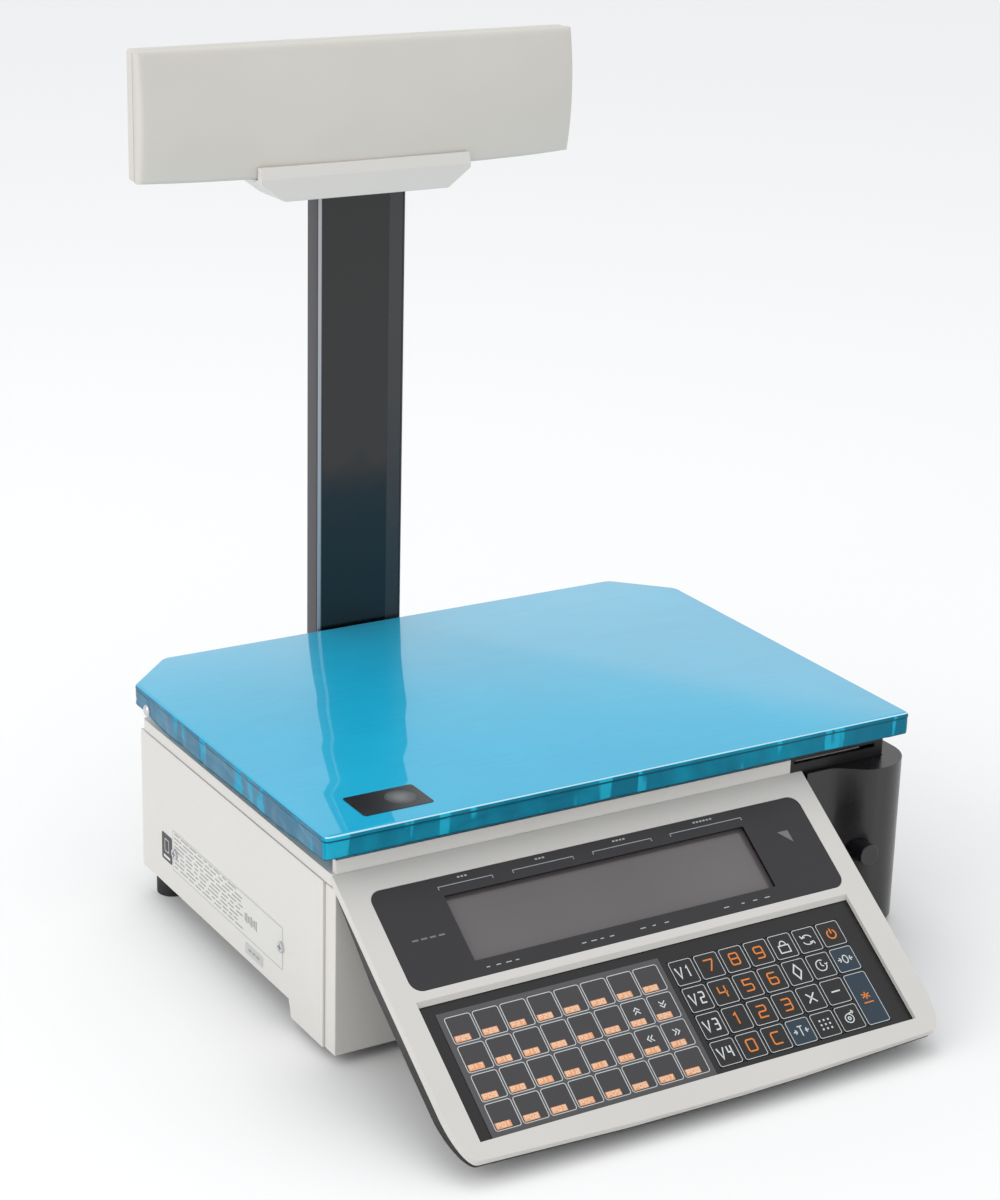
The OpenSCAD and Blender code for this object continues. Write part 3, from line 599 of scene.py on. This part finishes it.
def platter_details():
    """Steel pin heads in the skirt, and the dark badge under the film with its round dotted emblem."""
    low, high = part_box("platter")
    for side, x, sign in (("left", low.x, -1), ("right", high.x, 1)):
        bm = bmesh.new()
        bmesh.ops.create_uvsphere(bm, u_segments=24, v_segments=12, radius=0.0036)
        bmesh.ops.scale(bm, vec=(0.55, 1, 1), verts=bm.verts)
        bmesh.ops.translate(bm, vec=(x - sign * 0.0004, 0.1487, low.z + 0.0012), verts=bm.verts)
        finish_piece(object_from_bmesh("skirt_pin_" + side, bm), "platter", zinc)
    badge_low = (low.x + 0.0310, low.y + 0.0152)
    badge_high = (low.x + 0.0730, low.y + 0.0412)
    bm = bmesh.new()
    add_prism(bm, rounded_loop(badge_low, badge_high, 0.002), high.z - 0.0004, high.z + 0.0003,
              lambda x, y, z: Vector((x, y, z)))
    finish_piece(object_from_bmesh("tray_badge", bm), "platter", badge_ink)
    centre = (badge_low[0] + 0.0285, badge_low[1] + 0.0135)
    bm = bmesh.new()
    for ring_number in range(1, 7):
        dots = ring_number * 6
        for i in range(dots):
            a = 2 * math.pi * (i + 0.5 * (ring_number % 2)) / dots
            r = ring_number * 0.00135
            size = 0.00060 * (1 - ring_number / 10)
            x, y = centre[0] + r * math.cos(a), centre[1] + r * math.sin(a)
            loop = [(x + size * math.cos(k * math.pi / 3), y + size * math.sin(k * math.pi / 3)) for k in range(6)]
            add_prism(bm, loop, high.z + 0.0002, high.z + 0.00036, lambda u, v, z: Vector((u, v, z)))
    finish_piece(object_from_bmesh("tray_badge_dots", bm), "platter", soft_ink)


badge_ink = printed("badge_ink", (0.010, 0.012, 0.016), 0.24)
platter_details()

# ---------------------------------------------------------------- display window and its print


def window_pieces():
    """Printed frame with a clear opening, the recessed glass behind it, and its thin printed rules."""
    bm = bmesh.new()
    outer = rounded_loop((WINDOW_X[0] + 0.25, -WINDOW_S[1] + 0.25), (WINDOW_X[1] - 0.25, -WINDOW_S[0] - 0.25),
                         6.75, 8)
    inner = rounded_loop((LCD_X[0] + 1.2, -LCD_S[1] + 1.0), (LCD_X[1] - 1.2, -LCD_S[0] - 1.0), 0.8, 8)
    count = len(outer)
    rings = [[bm.verts.new(console_place(x, y, z)) for x, y in loop]
             for loop, z in ((outer, -0.85), (outer, -0.1), (inner, -0.1), (inner, -0.85))]
    for j in range(4):
        a, b = rings[j], rings[(j + 1) % 4]
        for i in range(count):
            k = (i + 1) % count
            bm.faces.new((a[i], a[k], b[k], b[i]))
    frame_piece = object_from_bmesh("display_print", bm)
    finish_piece(frame_piece, "root", window_ink)
    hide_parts("display_window")

    bm = bmesh.new()
    add_prism(bm, rounded_loop((LCD_X[0], -LCD_S[1]), (LCD_X[1], -LCD_S[0]), 0.5), -6.5, -3.4, console_place)
    finish_piece(object_from_bmesh("operator_glass", bm), "root", operator_glass)
    repaint("operator_lcd", black_shell)

    bm = bmesh.new()
    top = -(LCD_S[0] - 4.6)
    spans = [(0.0, 0.17), (0.235, 0.43), (0.495, 0.69), (0.755, 1.0)]
    width = LCD_X[1] - LCD_X[0]
    for a, b in spans:
        start, end = LCD_X[0] + a * width, LCD_X[0] + b * width
        add_stroke(bm, [(start, top), (end, top)], 0.35, -0.12, console_place)
        for x in (start, end):
            add_stroke(bm, [(x, top), (x, top - 1.8)], 0.35, -0.12, console_place)
        middle = (start + end) / 2
        bars = 3 + int(a * 4)
        for i in range(bars):
            x = middle + (i - bars / 2) * 2.2
            add_stroke(bm, [(x, top + 3.4), (x + 1.4, top + 3.4)], 0.9, -0.12, console_place)
    below = -(LCD_S[1] + 4.2)
    dashes = (0.03, 0.06, 0.09, 0.12, 0.33, 0.36, 0.39, 0.42, 0.52, 0.56, 0.60, 0.80, 0.86, 0.90, 0.94)
    for i, share in enumerate(dashes):
        x = LCD_X[0] + share * width
        add_stroke(bm, [(x, below), (x + 2.0 + (i % 3) * 0.7, below)], 0.55, -0.12, console_place)
    finish_piece(object_from_bmesh("display_rules", bm), "root", soft_ink)

    bm = bmesh.new()
    mark = (82.0, -38.0)
    pointer = [(mark[0] + 3.4, mark[1] + 3.4), (mark[0] + 3.4, mark[1] - 4.4), (mark[0] - 3.6, mark[1] + 3.4)]
    add_prism(bm, pointer, -0.2, 0.02, console_place)
    for i in range(4):
        x = WINDOW_X[0] + 12 + i * 5.2
        add_stroke(bm, [(x, -47.5), (x + 3.6, -47.5)], 1.0, -0.12, console_place)
    finish_piece(object_from_bmesh("display_marks", bm), "root", grey_ink)


window_pieces()

# ---------------------------------------------------------------- keys

GLYPHS = {
    "P": [[(0, 0), (0, 1), (0.88, 1), (1, 0.88), (1, 0.6), (0.88, 0.48), (0, 0.48)]],
    "0": [[(0, 0.12), (0.12, 0), (0.88, 0), (1, 0.12), (1, 0.88), (0.88, 1), (0.12, 1), (0, 0.88), (0, 0.12)]],
    "1": [[(0.2, 0.8), (0.5, 1), (0.5, 0)]],
    "2": [[(0, 1), (0.88, 1), (1, 0.88), (1, 0.62), (0.88, 0.5), (0.12, 0.5), (0, 0.38), (0, 0), (1, 0)]],
    "3": [[(0, 1), (0.88, 1), (1, 0.88), (1, 0.12), (0.88, 0), (0, 0)], [(0.15, 0.5), (1, 0.5)]],
    "4": [[(0, 1), (0, 0.45), (1, 0.45)], [(0.8, 1), (0.8, 0)]],
    "5": [[(1, 1), (0, 1), (0, 0.55), (0.88, 0.55), (1, 0.43), (1, 0.12), (0.88, 0), (0, 0)]],
    "6": [[(0.95, 1), (0.12, 1), (0, 0.88), (0, 0.12), (0.12, 0), (0.88, 0), (1, 0.12), (1, 0.45), (0.88, 0.55),
           (0, 0.55)]],
    "7": [[(0, 1), (1, 1), (1, 0.85), (0.4, 0)]],
    "8": [[(0, 0.12), (0.12, 0), (0.88, 0), (1, 0.12), (1, 0.88), (0.88, 1), (0.12, 1), (0, 0.88), (0, 0.12)],
          [(0, 0.52), (1, 0.52)]],
    "9": [[(0.05, 0), (0.88, 0), (1, 0.12), (1, 0.88), (0.88, 1), (0.12, 1), (0, 0.88), (0, 0.55), (0.12, 0.45),
           (1, 0.45)]],
    "clear": [[(1, 1), (0.12, 1), (0, 0.88), (0, 0.12), (0.12, 0), (1, 0)]],
    "multiply": [[(0, 0), (1, 1)], [(0, 1), (1, 0)]],
    "minus": [[(0, 0.5), (1, 0.5)]],
    "diamond": [[(0.5, 0), (1, 0.5), (0.5, 1), (0, 0.5), (0.5, 0)]],
    "chevron": [[(0, 1), (0.5, 0), (1, 1)]],
}


def circle_points(cx, cy, r, start, end, steps=14):
    return [(cx + r * math.cos(math.radians(start + (end - start) * i / steps)),
             cy + r * math.sin(math.radians(start + (end - start) * i / steps))) for i in range(steps + 1)]


ARROWS = [[(-0.55, 0.5), (-0.1, 0.5)], [(-0.3, 0.7), (-0.1, 0.5), (-0.3, 0.3)],
          [(1.55, 0.5), (1.1, 0.5)], [(1.3, 0.7), (1.1, 0.5), (1.3, 0.3)]]
GLYPHS["zero_set"] = ARROWS + [circle_points(0.5, 0.5, 0.34, 0, 360, 20)]
GLYPHS["tare"] = ARROWS + [[(0.16, 0.95), (0.84, 0.95)], [(0.5, 0.95), (0.5, 0.05)]]
GLYPHS["standby"] = [circle_points(0.5, 0.45, 0.45, 120, 420, 20), [(0.5, 1.05), (0.5, 0.5)]]
GLYPHS["repeat"] = [circle_points(0.5, 0.5, 0.45, 20, 150), [(0.0, 1.0), (0.08, 0.72), (0.38, 0.78)],
                    circle_points(0.5, 0.5, 0.45, 200, 330), [(1.0, 0.0), (0.92, 0.28), (0.62, 0.22)]]
GLYPHS["feed"] = [circle_points(0.42, 0.42, 0.42, 0, 360, 22), circle_points(0.42, 0.42, 0.14, 0, 360, 10),
                  [(0.42, 0.86), (1.05, 0.98)], [(0.85, 1.12), (1.05, 0.98), (0.88, 0.80)]]
GLYPHS["fix"] = [[(0, 0), (1, 0), (1, 0.55), (0, 0.55), (0, 0)], circle_points(0.5, 0.58, 0.3, 0, 180, 10)]
GLYPHS["auto"] = [circle_points(0.5, 0.5, 0.5, 60, 360, 20), [(0.5, 0.5), (0.5, 0.82)], [(0.5, 0.5), (0.72, 0.4)],
                  [(0.86, 0.62), (1.0, 0.5), (1.14, 0.64)]]
GLYPHS["lookup"] = [[(0.0 + 0.5 * i - 0.09, 0.1 + 0.4 * j), (0.0 + 0.5 * i + 0.09, 0.1 + 0.4 * j)]
                    for i in range(3) for j in range(3)]
GLYPHS["print"] = [[(0.5, 0.35), (0.5, 1.15)], [(0.1, 0.55), (0.9, 0.95)], [(0.1, 0.95), (0.9, 0.55)],
                   [(0.0, 0.0), (1.0, 0.0)]]

KEYS = [
    [("v1", "white"), ("7", "orange"), ("8", "orange"), ("9", "orange"), ("fix", "white"), ("repeat", "white"),
     ("standby", "orange")],
    [("v2", "white"), ("4", "orange"), ("5", "orange"), ("6", "orange"), ("diamond", "white"), ("auto", "white"),
     ("zero_set", "white")],
    [("v3", "white"), ("1", "orange"), ("2", "orange"), ("3", "orange"), ("multiply", "white"), ("minus", "white"),
     ("print", "orange")],
    [("v4", "white"), ("0", "orange"), ("clear", "orange"), ("tare", "white"),
     ("lookup", "white"), ("feed", "white")],
]
BLUE_KEYS = ("zero_set", "print", "tare")
INKS = {"white": white_ink, "orange": orange_ink}
GLYPH_SIZES = {"zero_set": (4.6, 7.0), "tare": (4.6, 6.4), "print": (6.2, 5.6), "minus": (5.6, 5.6),
               "multiply": (5.2, 5.6), "diamond": (5.2, 9.0), "lookup": (5.6, 6.4), "feed": (6.2, 6.2),
               "repeat": (7.4, 6.4), "standby": (6.0, 6.0), "fix": (6.4, 8.0), "auto": (6.6, 6.6)}
STROKES = {"lookup": 1.1, "zero_set": 0.6, "tare": 0.6, "feed": 0.6, "repeat": 0.6, "fix": 0.65, "auto": 0.6,
           "print": 0.7}
PAD_TOP = DECK_N + 0.2


def key_pad(name, low, size):
    """Membrane pad with round corners and the faint round swell of the dome below it."""
    bm = bmesh.new()
    steps = 22
    centre = (low[0] + size[0] / 2, low[1] + size[1] / 2)
    radius = 5.4
    corner = 1.0
    grid = []
    for j in range(steps + 1):
        row = []
        for i in range(steps + 1):
            x = low[0] + size[0] * i / steps
            y = low[1] + size[1] * j / steps
            dx = max(low[0] + corner - x, x - (low[0] + size[0] - corner), 0)
            dy = max(low[1] + corner - y, y - (low[1] + size[1] - corner), 0)
            away = math.hypot(dx, dy)
            if away > corner:
                x -= math.copysign(dx * (1 - corner / away), x - centre[0])
                y -= math.copysign(dy * (1 - corner / away), y - centre[1])
            r = math.hypot(x - centre[0], y - centre[1]) / radius
            swell = 0.22 * max(0.0, 1 - r ** 4) ** 1.5 if r < 1 else 0.0
            row.append(bm.verts.new(console_place(x, y, PAD_TOP + swell)))
        grid.append(row)
    for j in range(steps):
        for i in range(steps):
            bm.faces.new((grid[j][i], grid[j][i + 1], grid[j + 1][i + 1], grid[j + 1][i]))
    rim = ([grid[0][i] for i in range(steps)] + [grid[j][steps] for j in range(steps)]
           + [grid[steps][i] for i in range(steps, 0, -1)] + [grid[j][0] for j in range(steps, 0, -1)])
    down = console_matrix.to_3x3() @ Vector((0, 0, -0.9 * MM))
    lower = [bm.verts.new(v.co + down) for v in rim]
    for i in range(len(rim)):
        k = (i + 1) % len(rim)
        bm.faces.new((rim[k], rim[i], lower[i], lower[k]))
    bm.faces.new(lower)
    return object_from_bmesh(name, bm)


def key_legend(name, glyph, low, size):
    """Outline and symbol of one key, printed a little above the pad."""
    bm = bmesh.new()
    edge = 0.35
    outline = rounded_loop((low[0] + edge, low[1] + edge),
                           (low[0] + size[0] - edge, low[1] + size[1] - edge), 1.3, 4)
    add_stroke(bm, outline, 0.36, PAD_TOP - 0.04, console_place, True, 0.10)
    outline_faces = len(bm.faces)
    centre = (low[0] + size[0] / 2, low[1] + size[1] / 2)
    marks = []
    if glyph[0] == "v":
        marks.append(("chevron", (centre[0] - 3.0, centre[1]), (3.9, 6.4)))
        marks.append((glyph[1], (centre[0] + 2.6, centre[1]), (2.9, 6.4)))
    else:
        marks.append((glyph, centre, GLYPH_SIZES.get(glyph, (5.2, 6.8))))
    for mark, at, box in marks:
        for stroke in GLYPHS[mark]:
            points = [(at[0] + (x - 0.5) * box[0], at[1] + (y - 0.5) * box[1]) for x, y in stroke]
            closed = math.dist(points[0], points[-1]) < 1e-6
            add_stroke(bm, points[:-1] if closed else points, STROKES.get(glyph, 0.82),
                       PAD_TOP - 0.02, console_place, closed, 0.30)
    return object_from_bmesh(name, bm), outline_faces


def build_keys():
    for row_number, row in enumerate(KEYS):
        for column, (glyph, ink) in enumerate(row):
            tall = glyph == "print"
            size = (KEY_SIZE[0], KEY_SIZE[1] + (KEY_PITCH[1] if tall else 0))
            left = KEYS_LOW[0] + column * KEY_PITCH[0]
            bottom = -(KEYS_LOW[1] + row_number * KEY_PITCH[1]) - size[1]
            body = "key_" + glyph
            pad = key_pad("pad_" + glyph, (left, bottom), size)
            finish_piece(pad, body, key_blue if glyph in BLUE_KEYS else key_ink, 60)
            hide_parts(body)
            legend, outline_faces = key_legend("legend_" + glyph, glyph, (left, bottom), size)
            finish_piece(legend, body, line_ink)
            legend.data.materials.append(INKS[ink])
            for face in legend.data.polygons[outline_faces:]:
                face.material_index = 1


build_keys()
repaint("key_overlay", membrane)


def preset_keys():
    """Grey card with outlined dark squares, an orange tag with a number in each, and four scroll chevrons."""
    repaint("preset_card", card_ink)
    columns, rows = 8, 4
    pitch = (16.3, 16.9)
    size = (14.9, 15.4)
    first = (CARD_X[0] + 3.4, -(CARD_S[0] + 3.2))
    top = DECK_N + 0.4
    fields, outlines, tags, arrows, numbers = (bmesh.new() for i in range(5))
    chevrons = {(6, 1): 90, (7, 1): -90, (6, 2): 180, (7, 2): 0}
    for i in range(columns):
        for j in range(rows):
            left = first[0] + i * pitch[0]
            low = first[1] - j * pitch[1] - size[1]
            loop = rounded_loop((left, low), (left + size[0], low + size[1]), 1.4, 4)
            add_prism(fields, loop, top - 0.1, top + 0.05, console_place)
            add_stroke(outlines, loop, 0.42, top, console_place, True, 0.12)
            tag = rounded_loop((left + 0.9, low + 0.8), (left + 9.9, low + 4.4), 0.4, 3)
            add_prism(tags, tag, top, top + 0.14, console_place)
            for place, digit in enumerate("P%02d" % (8 * (rows - 1 - j) + i + 1)):
                at = (left + 1.9 + place * 2.75, low + 1.5)
                for stroke in GLYPHS[digit]:
                    points = [(at[0] + x * 1.75, at[1] + y * 2.2) for x, y in stroke]
                    closed = math.dist(points[0], points[-1]) < 1e-6
                    add_stroke(numbers, points[:-1] if closed else points, 0.48, top + 0.1, console_place,
                               closed, 0.10)
            if (i, j) in chevrons:
                turn = math.radians(chevrons[(i, j)])
                centre = (left + size[0] / 2, low + 9.2)
                for shift in (-1.0, 1.0):
                    points = [(shift - 0.9, 1.8), (shift + 0.9, 0), (shift - 0.9, -1.8)]
                    turned = [(centre[0] + x * math.cos(turn) - y * math.sin(turn),
                               centre[1] + x * math.sin(turn) + y * math.cos(turn)) for x, y in points]
                    add_stroke(arrows, turned, 0.6, top, console_place, False, 0.14)
    for name, bm, ink in (("preset_fields", fields, field_ink), ("preset_outlines", outlines, line_ink),
                          ("preset_tags", tags, tag_ink), ("preset_chevrons", arrows, white_ink),
                          ("preset_numbers", numbers, tag_light)):
        finish_piece(object_from_bmesh(name, bm), "root", ink)


preset_keys()

# ---------------------------------------------------------------- pole and display head


def pole_pieces():
    """Dark glossy extrusion, the sunk panel and strip down its front, and a bright strip on its left edge as a
    painted highlight.
    """
    low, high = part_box("pole")
    softened("pole", pole_metal, 0.6 * MM)
    pieces = (("pole_panel", low.x + 0.0036, high.x - 0.0110, 0.0005, 0.0006, 0.0004, pole_panel),
              ("pole_strip", high.x - 0.0109, high.x - 0.0018, 0.0005, 0.0006, 0.0003, pole_strip),
              ("pole_edge_highlight", low.x + 0.0004, low.x + 0.0024, 0.0004, 0.0002, 0.0004, pole_edge_highlight))
    for name, left, right, corner, sunk, height, material in pieces:
        bm = bmesh.new()
        add_prism(bm, rounded_loop((left, low.z + 0.002), (right, high.z - 0.004), corner), 0.0, height,
                  lambda x, z, y: Vector((x, low.y + sunk - y, z)))
        finish_piece(object_from_bmesh(name, bm), "root", material)


pole_metal = brushed("pole_metal", (0.07, 0.068, 0.076), 0.34, (30, 30, 1), 0.05, 0.6)
pole_panel = moulded("pole_panel", (0.004, 0.004, 0.005), 0.12, 500.0, 0.02, 0.05, specular=0.6)
pole_strip = moulded("pole_strip", (0.020, 0.019, 0.021), 0.30, 500.0, 0.05, 0.05, specular=0.7)
# Bright brushed strip along the pole's left front edge: painted highlight of that edge
pole_edge_highlight = brushed("pole_edge_highlight", (0.50, 0.50, 0.52), 0.46, (30, 30, 1), 0.05)
pole_pieces()


def head_bulge(u, v):
    """How far the operator's face stands out from the middle of its ends, across (-1 to 1) and up (0 to 1)."""
    across = (1 - u * u) * (1 + 0.6 * u * u)
    return ((2 + 10.9 * (1 - v) ** 1.2) * across - 4.2 * (2 * v - 1) ** 2) * MM


def head_operator_piece():
    """Curved operator's cover: a fine grid for the face, with rolled edges, closed at the seam."""
    low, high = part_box("head_customer_shell")
    front = 0.192
    seam = low.y - 0.0003
    across, up = 60, 26
    roll = 0.0022
    bm = bmesh.new()

    def eased(k, count):
        """Grid share that is dense near both ends, where the edges roll over."""
        t = k / count
        return 0.5 - 0.5 * math.cos(math.pi * t) if 0 < k < count else t

    def rolled(distance):
        """Set back of the face near an edge, as a quarter round."""
        d = max(0.0, min(1.0, distance / roll))
        return roll * (1 - math.sqrt(max(0.0, 1 - (1 - d) ** 2)))

    grid = []
    for j in range(up + 1):
        row = []
        v = eased(j, up)
        for i in range(across + 1):
            u = eased(i, across)
            x = low.x + (high.x - low.x) * u
            z = low.z + (high.z - low.z) * v
            edge = min(x - low.x, high.x - x, (z - low.z) * 2.5, high.z - z)
            y = front - head_bulge(2 * u - 1, v) + rolled(edge)
            row.append(bm.verts.new((x, y, z)))
        grid.append(row)
    for j in range(up):
        for i in range(across):
            bm.faces.new((grid[j][i], grid[j][i + 1], grid[j + 1][i + 1], grid[j + 1][i]))
    rim = ([grid[0][i] for i in range(across)] + [grid[j][across] for j in range(up)]
           + [grid[up][i] for i in range(across, 0, -1)] + [grid[j][0] for j in range(up, 0, -1)])
    previous = rim
    inset = 0.003
    centre = Vector(((low.x + high.x) / 2, 0, (low.z + high.z) / 2))
    def pulled(v, y, amount):
        x = v.co.x - math.copysign(amount, v.co.x - centre.x) * (abs(v.co.x - centre.x) > (high.x - low.x) / 2 - 1e-5)
        z = v.co.z - math.copysign(amount, v.co.z - centre.z) * (abs(v.co.z - centre.z) > (high.z - low.z) / 2 - 1e-5)
        x = max(low.x + amount, min(high.x - amount, x))
        z = max(low.z + amount, min(high.z - amount, z))
        return bm.verts.new((x, y, z))
    for y, amount in ((seam - 0.0006, 0.0), (seam, 0.0006), (seam, inset), (seam - 0.004, inset)):
        ring = [pulled(v, y, amount) for v in rim]
        for i in range(len(ring)):
            k = (i + 1) % len(ring)
            bm.faces.new((previous[k], previous[i], ring[i], ring[k]))
        previous = ring
    bm.faces.new(previous)
    obj = object_from_bmesh("head_operator_cover", bm)
    finish_piece(obj, "root", cream_head, 50)
    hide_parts("head_operator_shell")


head_operator_piece()
softened("head_customer_shell", cream_head, 1.2 * MM, 4)
repaint("customer_display", dark_glass)

# ---------------------------------------------------------------- stickers on the left wall


def left_wall_place(y, z, out):
    return Vector((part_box("main_housing")[0].x - out, y, z))


def sticker(name, corners, thickness, material, r=0.001):
    """Thin label on the left wall, between its rear upper and front lower corners."""
    bm = bmesh.new()
    add_prism(bm, rounded_loop(corners[0], corners[1], r, 4), -0.0001, thickness, left_wall_place)
    return finish_piece(object_from_bmesh(name, bm), "root", material)


def rule(bm, y0, y1, z, width, base=0.00018):
    add_stroke(bm, [(y0, z), (y1, z)], width, base, left_wall_place, False, 0.00006)


def wall_stickers():
    """Pale rating plate and switch label, a dark plate beside them, with plain bars where print would be."""
    sticker("rating_plate", ((-0.0105, 0.0300), (0.1350, 0.0565)), 0.00018, plate_paper)
    sticker("dark_plate", ((0.1360, 0.0325), (0.1500, 0.0495)), 0.0002, window_ink)
    sticker("switch_label", ((0.0145, 0.0205), (0.0370, 0.0272)), 0.00018, label_grey, 0.0015)
    bm = bmesh.new()
    for i in range(9):
        z = 0.0545 - i * 0.0026
        start = 0.132
        while start > 0.045:
            end = start - random.uniform(0.004, 0.014)
            rule(bm, max(end, 0.04), start, z, 0.0008)
            start = end - random.uniform(0.0015, 0.004)
    for i in range(8):
        rule(bm, 0.022 + i * 0.002, 0.0232 + i * 0.002, 0.0425, 0.006 - (i % 3) * 0.001)
    for i in range(3):
        rule(bm, 0.019 + i * 0.005, 0.0225 + i * 0.005, 0.0240, 0.0016)
    finish_piece(object_from_bmesh("plate_bars", bm), "root", plate_ink)
    bm = bmesh.new()
    rule(bm, 0.1385, 0.1475, 0.0350, 0.0016, 0.0002)
    add_stroke(bm, rounded_loop((0.1402, 0.0385), (0.1458, 0.0462), 0.0008, 3), 0.0005, 0.0002, left_wall_place,
               True, 0.00006)
    finish_piece(object_from_bmesh("dark_plate_mark", bm), "root", white_ink)
    bm = bmesh.new()
    add_stroke(bm, rounded_loop((-0.0098, 0.0307), (0.1343, 0.0558), 0.0008, 3), 0.0003, 0.00018, left_wall_place,
               True, 0.00005)
    finish_piece(object_from_bmesh("plate_border", bm), "root", plate_ink)


plate_paper = printed("plate_foil", (0.66, 0.655, 0.63), 0.30)
label_grey = printed("label_grey", (0.50, 0.51, 0.51), 0.35)
plate_ink = printed("plate_ink", (0.30, 0.30, 0.30), 0.5)
wall_stickers()

# ---------------------------------------------------------------- inside the printer bay


def label_web():
    """Strip of labels from the top of the roll, under the print head and out of the slot."""
    low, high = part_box("label_roll")
    path = [(0.062, high.z + 0.0003), (0.040, high.z + 0.0025), (0.024, 0.1045), (0.0145, 0.1098),
            (-0.020, 0.1112), (-0.034, 0.1121), (-0.0562, 0.1121)]
    bm = bmesh.new()
    rings = []
    for y, z in path:
        rings.append([bm.verts.new((x, y, z + t)) for x, t in
                      ((low.x + 0.005, 0), (high.x - 0.003, 0), (high.x - 0.003, 0.00015), (low.x + 0.005, 0.00015))])
    for a, b in zip(rings, rings[1:]):
        for j in range(4):
            k = (j + 1) % 4
            bm.faces.new((a[j], a[k], b[k], b[j]))
    bm.faces.new(rings[0])
    bm.faces.new(rings[-1][::-1])
    finish_piece(object_from_bmesh("label_web", bm), "root", label_paper)


label_web()
